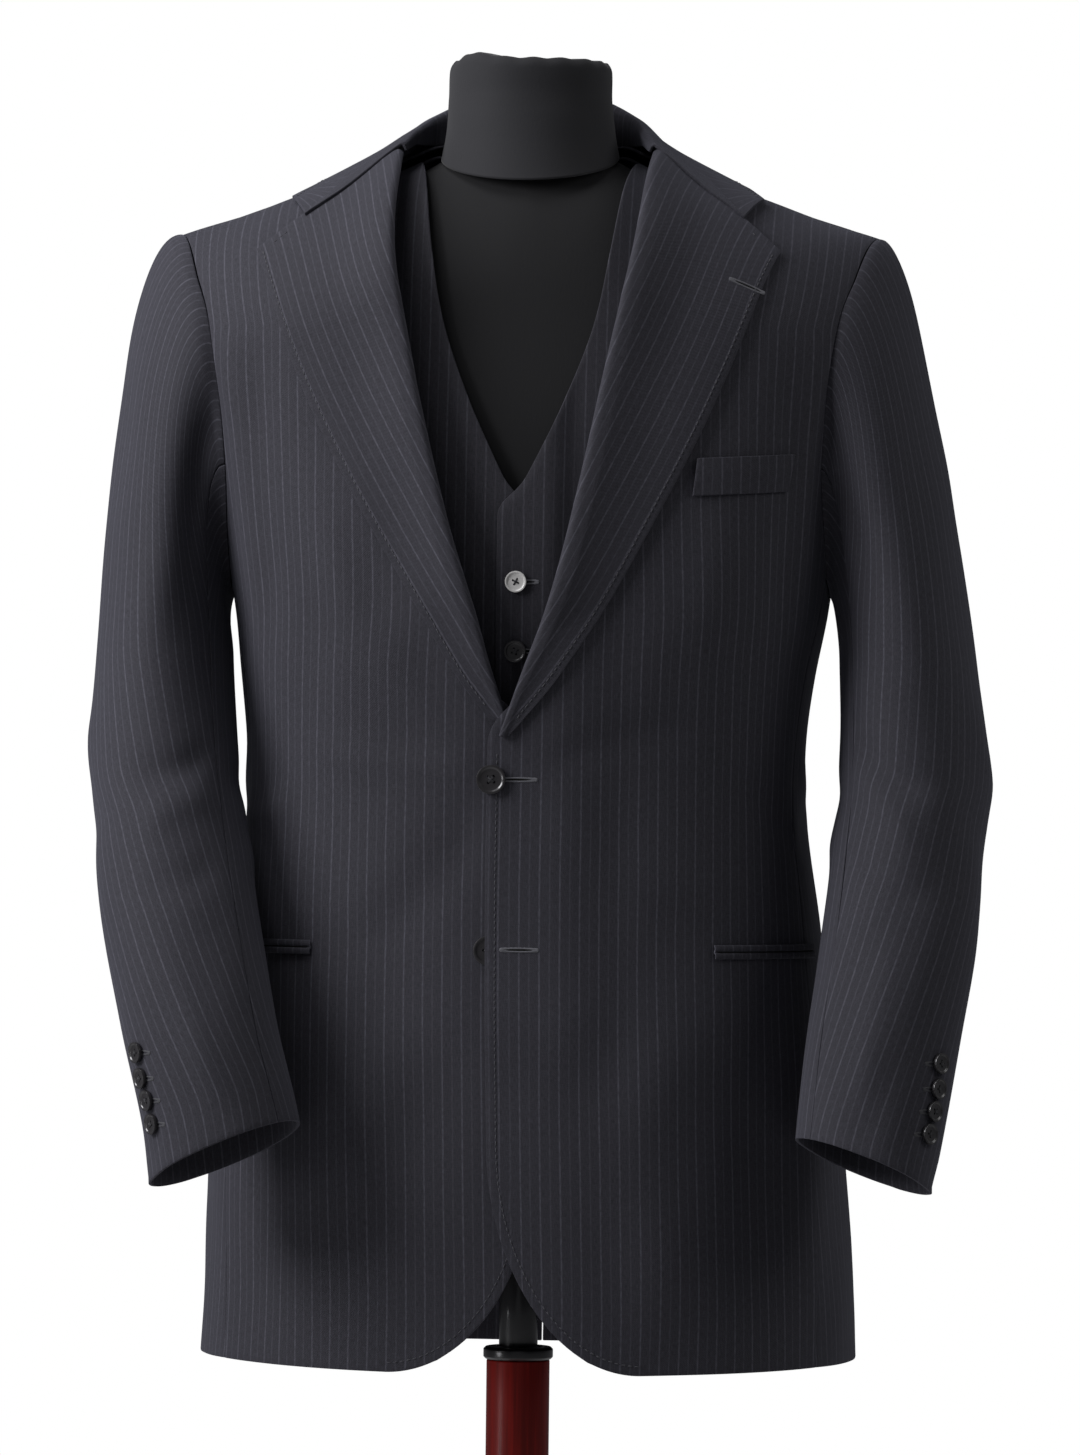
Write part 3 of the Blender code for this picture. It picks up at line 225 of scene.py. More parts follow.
# Sleeves, from the cuff up. The seam at the back of the arm turns outwards on its way down
Sleeve = namedtuple("Sleeve", "height across forward half_width half_depth rear_seam")
SLEEVES = {
    1: [
        Sleeve(0.880, 0.2235, -0.138, 0.0450, 0.0435, 8),
        Sleeve(0.902, 0.2276, -0.130, 0.0460, 0.0440, 4),
        Sleeve(0.970, 0.2363, -0.110, 0.0485, 0.0500, -25),
        Sleeve(1.034, 0.2449, -0.085, 0.0495, 0.0550, -45),
        Sleeve(1.086, 0.2495, -0.063, 0.0488, 0.0600, -60),
        Sleeve(1.131, 0.2522, -0.045, 0.0484, 0.0650, -68),
        Sleeve(1.210, 0.2475, -0.020, 0.0440, 0.0730, -80),
        Sleeve(1.260, 0.2420, -0.006, 0.0420, 0.0760, -85),
    ],
    -1: [
        Sleeve(0.880, 0.1715, -0.169, 0.0495, 0.0435, 8),
        Sleeve(0.913, 0.1760, -0.164, 0.0500, 0.0440, 4),
        Sleeve(0.975, 0.1928, -0.148, 0.0495, 0.0480, -25),
        Sleeve(1.053, 0.2109, -0.113, 0.0500, 0.0530, -50),
        Sleeve(1.131, 0.2250, -0.067, 0.0478, 0.0620, -68),
        Sleeve(1.210, 0.2315, -0.025, 0.0437, 0.0720, -80),
        Sleeve(1.260, 0.2312, -0.008, 0.0420, 0.0760, -85),
    ],
}
BICEP = 1.210
CAP_FULLNESS = {1: 0.20, -1: 0.35}
CAP_SHARE = 0.42
CAP_ARRIVAL = 1.05
CAP_FALL = 0.9
CAP_SPREAD = 0.25
FRONT_SEAM = 142
CUFF_HEIGHT = {1: 0.892, -1: 0.896}
CUFF_SLOPE = {1: 0.35, -1: 0.41}
CUFF_PITCH = 0.20
TOP_SLEEVE_START = 2
TOP_SLEEVE_END = 13
RING_COLUMNS = 2 * ARMHOLE_ROWS + SIDE_COLUMNS
RING_SEAM = SEAM_GAP / 2 / 0.015

# Waistcoat, on the form's own shape
WAISTCOAT_OUT = CLOTH + 0.0009
WAISTCOAT_OVERLAP = 0.010
WAISTCOAT_CENTRE = 1.020
WAISTCOAT_POINT = Edge(0.985, 0.045)
WAISTCOAT_SIDE = 1.030
WAISTCOAT_UNDERARM = 1.215
WAISTCOAT_BACK_NECK = 1.522
WAISTCOAT_LIFT = 0.0034
WAISTCOAT_TURN = SEAM_GAP / 2 / 0.17
WAISTCOAT_FADE = Fade(0.040, 0.020)
VEST_CREASE_FADE = Fade(0.015, 0.030)
NECKLINE = [
    Edge(1.3050, -0.0020),
    Edge(1.3380, 0.0145),
    Edge(1.3740, 0.0310),
    Edge(1.4200, 0.0475),
    Edge(1.4700, 0.0572),
    Edge(1.5260, 0.0640),
    Edge(1.5900, 0.0720),
]
NECKLINE_START = NECKLINE[0].rise - 0.006
WAISTCOAT_ARMHOLE = [
    Edge(1.2150, 0.1735),
    Edge(1.2600, 0.1570),
    Edge(1.3200, 0.1430),
    Edge(1.4000, 0.1370),
    Edge(1.4800, 0.1380),
    Edge(1.5600, 0.1420),
]
WAISTCOAT_EDGE_ROWS = 6
WAISTCOAT_NECK_ROWS = 9
WAISTCOAT_SIDE_ROWS = 5
WAISTCOAT_COLUMNS = 9
WAISTCOAT_BACK_COLUMNS = 16
WAISTCOAT_HOLE_ROWS = WAISTCOAT_EDGE_ROWS + WAISTCOAT_NECK_ROWS - WAISTCOAT_SIDE_ROWS

# Pockets
WELT_INNER = Edge(1.336, 0.1130)
WELT_OUTER = Edge(1.340, 0.1740)
WELT_DEPTH = 0.024
JET_HEIGHT = 1.0245
JET_DEPTH = 0.009
JET_START = math.radians(36.5)
JET_END = math.radians(74)
TRIM_THICKNESS = 0.0012

# Buttons: radius and thickness
Button = namedtuple("Button", "radius thickness")
JACKET_BUTTON = Button(0.0092, 0.0028)
CUFF_BUTTON = Button(0.0066, 0.0024)
WAISTCOAT_BUTTON = Button(0.0068, 0.0024)
UPPER_BUTTON = 1.132
LOWER_BUTTON = 1.025
CUFF_BUTTONS = 4
WAISTCOAT_BUTTONS = 6

# Dress form and stand
TORSO_BOTTOM = 0.850
TORSO_EASE = 0.0046
Ring = namedtuple("Ring", "height half_width half_depth forward")
NECK_RINGS = [
    Ring(1.5350, 0.0575, 0.0580, -0.010),
    Ring(1.5500, 0.0545, 0.0535, -0.007),
    Ring(1.5700, 0.0528, 0.0510, -0.006),
    Ring(1.5900, 0.0522, 0.0505, -0.006),
    Ring(1.5935, 0.0500, 0.0485, -0.006),
]
NECK_SADDLE = 0.31
NECK_BUMP = 0.004
STEM_RADIUS = 0.0125
RING_RADIUS = 0.0225
RING_BOTTOM = 0.7570
RING_TOP = 0.7650
POST_RADIUS = 0.0204
BASE_RADIUS = 0.195
BASE_THICKNESS = 0.026

# The photograph's view
VIEW_DISTANCE = 5.0
VIEW_HEIGHT = 1.165
VIEW_AZIMUTH = math.radians(4.0)
VIEW_ROLL = math.radians(0.64)
VIEW_ASIDE = 0.0096
VIEW_WIDTH = 0.698
SENSOR = 36.0


# Curves and worn shapes


def along(keys, values, key):
    """Values at keys, on a smooth curve through the values given at some keys."""
    keys = np.asarray(keys, float)
    values = np.asarray(values, float)
    key = np.clip(np.asarray(key, float), keys[0], keys[-1])
    high = np.clip(np.searchsorted(keys, key), 1, len(keys) - 1)
    low = high - 1
    places = np.arange(len(keys))
    before = np.maximum(places - 1, 0)
    after = np.minimum(places + 1, len(keys) - 1)
    more = (1,) * (values.ndim - 1)
    rates = (values[after] - values[before]) / np.reshape(keys[after] - keys[before], (-1, *more))
    span = np.reshape(keys[high] - keys[low], (*key.shape, *more))
    part = np.reshape(key - keys[low], (*key.shape, *more)) / span
    left = 1 - part
    ends = values[low] * (1 + 2 * part) * left**2 + values[high] * part**2 * (3 - 2 * part)
    return ends + span * (rates[low] * part * left**2 - rates[high] * part**2 * left)


def through(rows, key, column):
    """A table's column at keys of its first column."""
    return along([row[0] for row in rows], [getattr(row, column) for row in rows], key)


def ease(value):
    """A smooth step from 0 to 1 as the value goes from 0 to 1."""
    value = np.clip(value, 0.0, 1.0)
    return value * value * (3 - 2 * value)


def above(fade, value):
    return ease((value - fade.start) / fade.reach)


def below(fade, value):
    return ease((fade.start - value) / fade.reach)


def run_along(points, axis):
    """The distance along each line of a grid of points, from the line's first point."""
    steps = np.linalg.norm(np.diff(points, axis=axis), axis=-1)
    start = np.zeros_like(np.take(steps, [0], axis))
    return np.concatenate([start, np.cumsum(steps, axis=axis)], axis=axis)


def mix(first, second, part):
    return first + (second - first) * part


def rounded(value):
    """The power of a sine or cosine that squares an oval up, with its sign kept."""
    return np.copysign(np.abs(value) ** (2 / ROUNDNESS), value)


def pair(first, second):
    return np.stack(np.broadcast_arrays(first, second), -1)


def unit(vectors):
    return vectors / np.linalg.norm(vectors, axis=-1, keepdims=True)


def body_point(shape, angle, rise, out=0.0):
    """The point of a worn shape at an angle and a rise, moved out by a distance."""
    across = (through(shape.sections, rise, "half_width") + out) * rounded(np.sin(angle))
    ridge = through(SHOULDER_RIDGE, np.abs(across), "height") - shape.below_ridge + out
    start = ridge - SHOULDER_CURVE
    turn = np.maximum(rise - start, 0.0) / SHOULDER_CURVE
    height = np.minimum(rise, start) + SHOULDER_CURVE * np.sin(turn)
    front = through(shape.sections, height, "front")
    back = through(shape.sections, height, "back")
    depth = (np.where(np.cos(angle) > 0, front, back) + out) * np.cos(turn) * rounded(np.cos(angle))
    return np.stack(np.broadcast_arrays(across, -depth, height), -1)


def body_normal(shape, angle, rise, out=0.0):
    """The direction out of a worn shape."""
    step = 0.01
    turning = body_point(shape, angle + step, rise, out) - body_point(shape, angle - step, rise, out)
    rising = body_point(shape, angle, rise + step, out) - body_point(shape, angle, rise - step, out)
    return unit(np.cross(turning, rising))


def angle_at(shape, across, rise, out=0.0):
    """The angle, on the front, of a place at a distance from the centre."""
    share = np.abs(across) / (through(shape.sections, rise, "half_width") + out)
    return np.copysign(np.arcsin(np.minimum(share, 1.0) ** (ROUNDNESS / 2)), across)


def ridge_rise(shape, across, out=0.0):
    """The rise at which the cloth reaches the shoulder's ridge."""
    ridge = through(SHOULDER_RIDGE, np.abs(across), "height") - shape.below_ridge + out
    return ridge - SHOULDER_CURVE + SHOULDER_CURVE * QUARTER


def place_at(shape, rise, across, out=0.0):
    """The place, on the front, at a rise and a distance from the centre."""
    return pair(angle_at(shape, across, rise, out), rise)


def turned_back(place):
    """A place on the front, moved to the same spot of the back."""
    return pair(math.pi - place[..., 0], place[..., 1])


def aside(amount):
    """A turn towards the wearer's left, as a step between places."""
    return pair(np.asarray(amount, float), 0.0)


def straight(first, second):
    first, second = np.asarray(first, float), np.asarray(second, float)
    return lambda part: mix(first, second, np.asarray(part, float)[..., None])


def piecewise(pieces):
    """One curve from 0 to 1 out of several, each with its number of grid steps."""
    marks = np.cumsum([0] + [steps for steps, _ in pieces])
    marks = marks / marks[-1]

    def curve(part):
        part = np.asarray(part, float)
        found = pieces[0][1](np.clip(part / marks[1], 0, 1))
        for first, last, (_, piece) in zip(marks[1:-1], marks[2:], pieces[1:]):
            share = np.clip((part - first) / (last - first), 0, 1)
            found = np.where((part > first)[..., None], piece(share), found)
        return found

    return curve


def patch(bottom, top, left, right, u, v):
    """The grid of places that fills four edge curves, which meet at their corners."""
    low, high = bottom(u)[None], top(u)[None]
    first, last = left(v)[:, None], right(v)[:, None]
    u, v = u[None, :, None], v[:, None, None]
    corners = mix(mix(bottom(0), bottom(1), u), mix(top(0), top(1), u), v)
    return mix(first, last, u) + mix(low, high, v) - corners


def steps_of(columns, rows, finer):
    return np.linspace(0, 1, columns * finer[0] + 1), np.linspace(0, 1, rows * finer[1] + 1)


# Places in the flat cloth, for its stripes and its creases

ARC_RISES = np.linspace(0.74, 1.42, 69)
ARC_ANGLES = np.linspace(0, math.pi, 181)


def arc_table(shape):
    """The distance round a shape from the front centre, for rows of rises and columns of angles."""
    return run_along(body_point(shape, ARC_ANGLES[None, :], ARC_RISES[:, None]), 1)


ARCS = {"jacket": arc_table(JACKET), "form": arc_table(FORM)}


def arc(table, place):
    """How far round the shape a place lies from the front centre.

    Over the shoulders the cloth goes straight on.
    """
    rise = np.clip(place[..., 1], ARC_RISES[0], ARC_RISES[-1])
    row = (rise - ARC_RISES[0]) / (ARC_RISES[1] - ARC_RISES[0])
    column = np.clip(np.abs(place[..., 0]), 0, math.pi) / (ARC_ANGLES[1] - ARC_ANGLES[0])
    low = np.minimum(row.astype(int), len(ARC_RISES) - 2)
    first = np.minimum(column.astype(int), len(ARC_ANGLES) - 2)
    row, column = row - low, column - first
    grid = ARCS[table]
    lower = mix(grid[low, first], grid[low, first + 1], column)
    upper = mix(grid[low + 1, first], grid[low + 1, first + 1], column)
    return np.copysign(mix(lower, upper, row), place[..., 0])


# Creases: soft ridges in the flat cloth, and troughs where the depth is under 0. A bow bends the line aside
Crease = namedtuple("Crease", "across rise to_across to_rise bow width depth")
FRONT_CREASES = {
    1: [
        Crease(0.205, 1.430, 0.196, 1.230, 0.006, 0.012, 0.0022),
        Crease(0.178, 1.400, 0.176, 1.215, -0.004, 0.013, -0.0016),
        Crease(0.135, 1.320, 0.128, 1.150, 0.008, 0.016, 0.0014),
        Crease(0.012, 1.136, 0.118, 1.166, -0.006, 0.012, -0.0012),
        Crease(0.020, 1.118, 0.125, 1.052, 0.008, 0.016, 0.0014),
        Crease(0.150, 1.135, 0.215, 1.090, 0.004, 0.011, -0.0014),
        Crease(0.090, 0.990, 0.096, 0.775, 0.006, 0.026, 0.0022),
        Crease(0.150, 0.960, 0.162, 0.770, -0.006, 0.024, -0.0018),
        Crease(0.200, 1.000, 0.214, 0.780, 0.004, 0.022, 0.0018),
    ],
    -1: [
        Crease(0.200, 1.425, 0.186, 1.225, 0.008, 0.013, 0.0026),
        Crease(0.168, 1.410, 0.170, 1.200, -0.008, 0.014, -0.0022),
        Crease(0.138, 1.330, 0.112, 1.170, 0.010, 0.015, 0.0015),
        Crease(0.122, 1.275, 0.040, 1.160, -0.008, 0.013, 0.0012),
        Crease(0.014, 1.122, 0.110, 1.020, 0.012, 0.018, -0.0018),
        Crease(0.012, 1.140, 0.135, 1.150, 0.005, 0.012, 0.0013),
        Crease(0.150, 1.120, 0.210, 1.105, 0.004, 0.010, 0.0015),
        Crease(0.124, 1.000, 0.132, 0.780, 0.008, 0.026, 0.0024),
        Crease(0.168, 0.985, 0.176, 0.775, 0.006, 0.020, -0.0018),
        Crease(0.060, 0.960, 0.070, 0.800, -0.004, 0.022, -0.0012),
    ],
}
SIDE_CREASES = [
    Crease(-0.030, 1.150, 0.040, 1.105, 0.004, 0.011, 0.0014),
    Crease(-0.040, 1.090, 0.030, 1.120, -0.004, 0.012, -0.0014),
    Crease(0.000, 0.980, 0.006, 0.780, 0.006, 0.024, 0.0020),
]
BACK_CREASES = {
    1: [
        Crease(0.040, 1.410, 0.150, 1.380, 0.012, 0.020, 0.0018),
        Crease(0.165, 1.420, 0.150, 1.250, 0.008, 0.014, 0.0022),
        Crease(0.060, 1.140, 0.150, 1.100, 0.008, 0.014, -0.0016),
        Crease(0.030, 1.110, 0.120, 1.150, -0.006, 0.016, 0.0015),
        Crease(0.080, 1.000, 0.090, 0.780, -0.006, 0.026, 0.0024),
        Crease(0.135, 0.980, 0.140, 0.775, 0.006, 0.022, -0.0018),
    ],
    -1: [
        Crease(0.030, 1.400, 0.140, 1.372, 0.010, 0.018, 0.0016),
        Crease(0.158, 1.415, 0.148, 1.240, -0.008, 0.015, 0.0022),
        Crease(0.050, 1.155, 0.140, 1.118, 0.006, 0.013, -0.0014),
        Crease(0.070, 1.090, 0.150, 1.128, -0.006, 0.015, 0.0016),
        Crease(0.060, 1.010, 0.076, 0.790, 0.006, 0.028, 0.0022),
        Crease(0.120, 0.960, 0.128, 0.770, -0.006, 0.020, -0.0016),
    ],
}

# The same on a sleeve: across is 0.02 for each column of its armhole ring, counted from the front seam
SLEEVE_CREASES = {
    1: [
        Crease(0.020, 1.440, 0.024, 1.240, 0.004, 0.012, -0.0024),
        Crease(0.052, 1.450, 0.060, 1.200, 0.006, 0.018, 0.0018),
        Crease(0.000, 1.165, 0.070, 1.128, 0.006, 0.010, -0.0026),
        Crease(0.004, 1.140, 0.062, 1.092, -0.004, 0.010, 0.0022),
        Crease(0.010, 1.090, 0.080, 1.060, 0.006, 0.011, -0.0018),
        Crease(0.110, 1.180, 0.170, 1.120, 0.008, 0.014, 0.0020),
        Crease(0.095, 1.120, 0.160, 1.070, -0.006, 0.014, -0.0018),
        Crease(0.060, 1.040, 0.066, 0.930, 0.006, 0.016, 0.0014),
        Crease(0.250, 1.150, 0.390, 1.120, 0.006, 0.012, -0.0020),
        Crease(0.260, 1.110, 0.380, 1.090, 0.004, 0.012, 0.0018),
    ],
    -1: [
        Crease(0.016, 1.430, 0.022, 1.230, 0.004, 0.012, -0.0022),
        Crease(0.050, 1.440, 0.052, 1.210, 0.008, 0.018, 0.0020),
        Crease(0.092, 1.400, 0.088, 1.230, -0.006, 0.016, -0.0014),
        Crease(0.000, 1.150, 0.076, 1.135, 0.006, 0.010, -0.0024),
        Crease(0.006, 1.120, 0.070, 1.100, -0.004, 0.011, 0.0022),
        Crease(0.012, 1.078, 0.082, 1.064, 0.006, 0.011, -0.0016),
        Crease(0.120, 1.170, 0.176, 1.132, 0.008, 0.014, 0.0020),
        Crease(0.100, 1.110, 0.168, 1.080, -0.006, 0.014, -0.0018),
        Crease(0.070, 1.030, 0.074, 0.930, 0.006, 0.016, 0.0012),
        Crease(0.250, 1.140, 0.390, 1.128, 0.006, 0.012, -0.0020),
        Crease(0.255, 1.095, 0.375, 1.080, 0.004, 0.012, 0.0018),
    ],
}
COLUMN_WIDTH = 0.02
WAISTCOAT_CREASES = [
    Crease(0.010, 1.225, 0.110, 1.235, 0.005, 0.010, 0.0008),
    Crease(0.010, 1.170, 0.100, 1.160, -0.005, 0.011, -0.0008),
    Crease(0.015, 1.120, 0.110, 1.135, 0.004, 0.012, 0.0009),
]


def creased(creases, across, rise):
    """The height of all creases of a table at places in the flat cloth."""
    total = np.zeros(np.broadcast(across, rise).shape)
    for crease in creases:
        start = np.array([crease.across, crease.rise])
        line = np.array([crease.to_across, crease.to_rise]) - start
        length = np.linalg.norm(line)
        line = line / length
        side = (across - start[0]) * line[1] - (rise - start[1]) * line[0]
        part = ((across - start[0]) * line[0] + (rise - start[1]) * line[1]) / length
        side = side - crease.bow * 4 * part * (1 - part)
        fade = ease((part + 0.15) / 0.45) * ease((1.15 - part) / 0.45)
        total = total + crease.depth * fade * np.exp(-((side / crease.width) ** 2))
    return total


def uneven(across, rise, height):
    """The slight waviness of cloth that is pressed but worn."""
    aside_waves = np.sin(across * 71 + 3.1 * np.sin(rise * 23))
    level_waves = np.sin(rise * 47 + 2.3 * np.sin(across * 37) + 1.7)
    return height * 0.5 * (aside_waves + level_waves)


# Cloth pieces


def shell_faces(rows, columns):
    """A closed shell's faces: a grid, the same grid behind it turned round, and the rim between them."""
    count = rows * columns
    index = np.arange(count).reshape(rows, columns)
    corners = [index[:-1, :-1], index[:-1, 1:], index[1:, 1:], index[1:, :-1]]
    faces = np.stack(corners, -1).reshape(-1, 4)
    loop = np.concatenate([index[0, :-1], index[:-1, -1], index[-1, :0:-1], index[:0:-1, 0]])
    after = np.roll(loop, -1)
    rim = np.stack([after, loop, loop + count, after + count], -1)
    return np.concatenate([faces, faces[:, ::-1] + count, rim])


def normals_of(points):
    """The direction out of a grid of points: its columns go to the left and its rows up."""
    return unit(np.cross(np.gradient(points, axis=1), np.gradient(points, axis=0)))


def new_piece(name, mesh, *materials):
    for material in materials:
        mesh.materials.append(material)
    piece = bpy.data.objects.new(name, mesh)
    bpy.context.scene.collection.objects.link(piece)
    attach(piece, "root")
    return piece


def pick(piece):
    bpy.ops.object.select_all(action="DESELECT")
    piece.select_set(True)
    bpy.context.view_layer.objects.active = piece


def fold_edges(piece, width):
    """Rounds a cloth piece's cut edges, as if they were turned in and pressed."""
    pick(piece)
    bevel = piece.modifiers.new("Pressed edges", "BEVEL")
    bevel.width = width
    bevel.segments = 2
    bevel.limit_method = "ANGLE"
    bevel.angle_limit = EDGE_ANGLE
    bpy.ops.object.modifier_apply(modifier=bevel.name)


def cloth_piece(
    name,
    outer,
    cloth_places,
    cloth,
    lining=None,
    facing=None,
    side=1,
    hangs=True,
    flip=False,
    thickness=CLOTH,
):
    """A closed shell: its outer points, the same moved in by the thickness, and the rim between them.

    Its UV map holds places in the flat cloth. The inside is lined, apart from where the facing is true.
    A grid whose columns go to the right is flipped, so that its outside still faces out.
    """
    rows, columns = outer.shape[:2]
    count = rows * columns
    inner = outer - normals_of(outer) * (-thickness if flip else thickness)
    points = np.concatenate([outer.reshape(-1, 3), inner.reshape(-1, 3)])
    points[:, 0] *= side
    if hangs:
        points[:, 0] += through(SWAY, points[:, 2], "across")
    faces = shell_faces(rows, columns)
    if (side < 0) != flip:
        faces = faces[:, ::-1]
    mesh = bpy.data.meshes.new(name)
    mesh.from_pydata(points.tolist(), [], faces.tolist())
    uv = cloth_places.reshape(-1, 2)[faces.reshape(-1) % count]
    mesh.uv_layers.new(name="Cloth").data.foreach_set("uv", uv.astype(np.float32).reshape(-1))
    mesh.shade_smooth()
    piece = new_piece(name, mesh, cloth)
    if lining:
        mesh.materials.append(lining)
        inside = np.ones((rows - 1, columns - 1), bool) if facing is None else ~facing
        slots = np.zeros(len(faces), np.int32)
        slots[inside.size : 2 * inside.size] = inside.reshape(-1)
        mesh.polygons.foreach_set("material_index", slots)
    fold_edges(piece, min(FOLDED_EDGE, EDGE_SHARE * thickness))
    return piece


def roll_across(side, rise):
    """Where the lapel folds, from the centre."""
    return through(ROLL_LINE, rise, "across") + LAPEL_SHIFT[side] * below(SHIFT_FADE, rise)


def roll_share(rise):
    """How far the lapel's roll stands open: it is pressed flat at the break."""
    return mix(PRESSED_ROLL, 1.0, above(ROLL_FADE, rise))


def front_lift(side, angle, rise):
    """How far a jacket front stands off its own shape, at its edge, along the roll and in its creases."""
    across = body_point(JACKET, angle, rise)[..., 0]
    lift = ROLL_LIFT * roll_share(rise) * above(BREAK_FADE, rise)
    lift = lift * ease(1 - (across - roll_across(side, rise)) / ROLL_REACH)
    if side > 0:
        over = mix(HEM_LIFT, OVERLAP_LIFT, above(HEM_FADE, rise)) * below(OVERLAP_FADE, rise)
        lift = np.maximum(lift, over * below(EDGE_FADE, across))
    flat = arc("jacket", pair(angle, rise))
    folds = creased(FRONT_CREASES[side], flat, rise) + uneven(flat * side, rise, 0.0005)
    return lift + folds * above(CREASE_FADE, across)


def front_edge(side):
    """The jacket front's free edge, from the hem's curve up to the neck."""

    def cutaway(part):
        turn = CUTAWAY_TURN * (1 - part)
        rise = CUTAWAY_TOP - (CUTAWAY_TOP - HEM) * np.sin(turn)
        return place_at(JACKET, rise, CUTAWAY_WIDTH * (1 - np.cos(turn)) - OVERLAP)

    def edge(part):
        return place_at(JACKET, mix(CUTAWAY_TOP, ROLL_START, part), -OVERLAP)

    def roll(part):
        top = ridge_rise(JACKET, NECK_POINT) - SEAM_GAP / 2
        rise = mix(ROLL_START, top, part)
        inset = ROLL_INSET * above(INSET_FADE, rise) * ease((top - rise) / INSET_END)
        across = mix(-OVERLAP, roll_across(side, rise) + inset, ease(part * ROLL_ENTRY))
        return place_at(JACKET, rise, across)

    return piecewise([(CUTAWAY_ROWS, cutaway), (EDGE_ROWS, edge), (ROLL_ROWS, roll)])


def hem_curve_end(part):
    """The last of the cutaway's curve, where it runs into the level hem."""
    turn = mix(CUTAWAY_TURN, QUARTER, part)
    rise = CUTAWAY_TOP - (CUTAWAY_TOP - HEM) * np.sin(turn)
    return place_at(JACKET, rise, CUTAWAY_WIDTH * (1 - np.cos(turn)) - OVERLAP)


def side_seam(hem_angle, top_angle, gap):
    """A long seam beside the side panel, from the hem to the underarm."""
    return straight((hem_angle + gap, SIDE_HEM), (top_angle + gap, UNDERARM))


def armhole(part):
    """The armhole's front half, from the underarm to the shoulder."""
    top = ridge_rise(JACKET, SHOULDER_POINT) - SEAM_GAP / 2
    rise = mix(UNDERARM, top, part)
    place = place_at(JACKET, rise, through(ARMHOLE, rise, "across"))
    corner = SIDE_SEAM_TOP - angle_at(JACKET, ARMHOLE[0].across, ARMHOLE[0].rise)
    return place + aside(corner * (1 - ease(part * 4)))


def back_armhole(part):
    corner = BACK_SEAM_TOP - (math.pi - SIDE_SEAM_TOP)
    return turned_back(armhole(part)) + aside(corner * (1 - ease(part * 4)))


def underarm(part):
    """The armhole's lowest stretch, over the side panel, from front to back."""
    return pair(mix(SIDE_SEAM_TOP, BACK_SEAM_TOP, part), UNDERARM - UNDERARM_DIP * np.sin(math.pi * part))


def shoulder_seam(first, last, out=0.0, shape=JACKET):
    """A stretch of the ridge between two distances from the centre, just in front of it."""

    def curve(part):
        across = mix(first, last, np.asarray(part, float))
        return place_at(shape, ridge_rise(shape, across, out) - SEAM_GAP / 2, across, out)

    return curve


def back_neck(shape, first, last, height, out=0.0):
    """The back neckline, from the centre to the neck point."""

    def curve(part):
        across = mix(first, last, np.asarray(part, float))
        ridge = through(SHOULDER_RIDGE, np.abs(across), "height") - shape.below_ridge + out
        turn = np.arcsin(np.clip(1 - (ridge - height) / SHOULDER_CURVE, -1.0, 1.0))
        low = ridge - SHOULDER_CURVE + SHOULDER_CURVE * turn
        high = ridge_rise(shape, across, out) - SEAM_GAP / 2
        share = ease(np.abs(across) / max(abs(first), abs(last))) ** NECK_ROUNDING
        return turned_back(place_at(shape, mix(low, high, share), across, out))

    return curve


def jacket_front(side, name, wool, lining):
    left = front_edge(side)
    seam = side_seam(SIDE_SEAM_HEM, SIDE_SEAM_TOP, -SEAM_TURN)
    hole = lambda part: armhole(part) - aside(SEAM_TURN)
    right = piecewise([(SEAM_ROWS, seam), (ARMHOLE_ROWS, hole)])
    level_hem = straight(hem_curve_end(1), seam(0))
    hem = piecewise([(2, hem_curve_end), (FRONT_COLUMNS - 2, level_hem)])
    ridge = shoulder_seam(NECK_POINT, SHOULDER_POINT)
    start, end = left(1) - ridge(0), right(1) - ridge(1)
    top = lambda part: ridge(part) + mix(start, end, np.asarray(part, float)[..., None])
    u, v = steps_of(FRONT_COLUMNS, CUTAWAY_ROWS + EDGE_ROWS + ROLL_ROWS, (7, 8))
    where = patch(hem, top, left, right, u, v)
    angle, rise = where[..., 0], where[..., 1]
    outer = body_point(JACKET, angle, rise, front_lift(side, angle, rise))
    flat = pair(arc("jacket", where), rise)
    across, height = flat[:-1, :-1, 0], rise[:-1, :-1]
    facing = across < FACING_WIDTH + FACING_FLARE * above(FLARE_FADE, height)
    facing = facing | (height < HEM + FACING_HEM)
    return cloth_piece(name, outer, flat, wool, lining, facing, side)


def jacket_side(side, name, wool, lining):
    left = side_seam(SIDE_SEAM_HEM, SIDE_SEAM_TOP, SEAM_TURN)
    right = side_seam(BACK_SEAM_HEM, BACK_SEAM_TOP, -SEAM_TURN)
    top = lambda part: underarm(part) + aside(SEAM_TURN * (1 - 2 * np.asarray(part, float)))
    u, v = steps_of(SIDE_COLUMNS, SEAM_ROWS, (8, 8))
    where = patch(straight(left(0), right(0)), top, left, right, u, v)
    angle, rise = where[..., 0], where[..., 1]
    flat = arc("jacket", where)
    flat = flat - (flat[:, :1] + flat[:, -1:]) / 2
    edges = ease(np.minimum(u, 1 - u)[None] / 0.2)
    folds = (creased(SIDE_CREASES, flat, rise) + uneven(flat, rise + side, 0.0005)) * edges
    outer = body_point(JACKET, angle, rise, folds)
    facing = rise[:-1, :-1] < HEM + FACING_HEM
    return cloth_piece(name, outer, pair(flat, rise), wool, lining, facing, side)


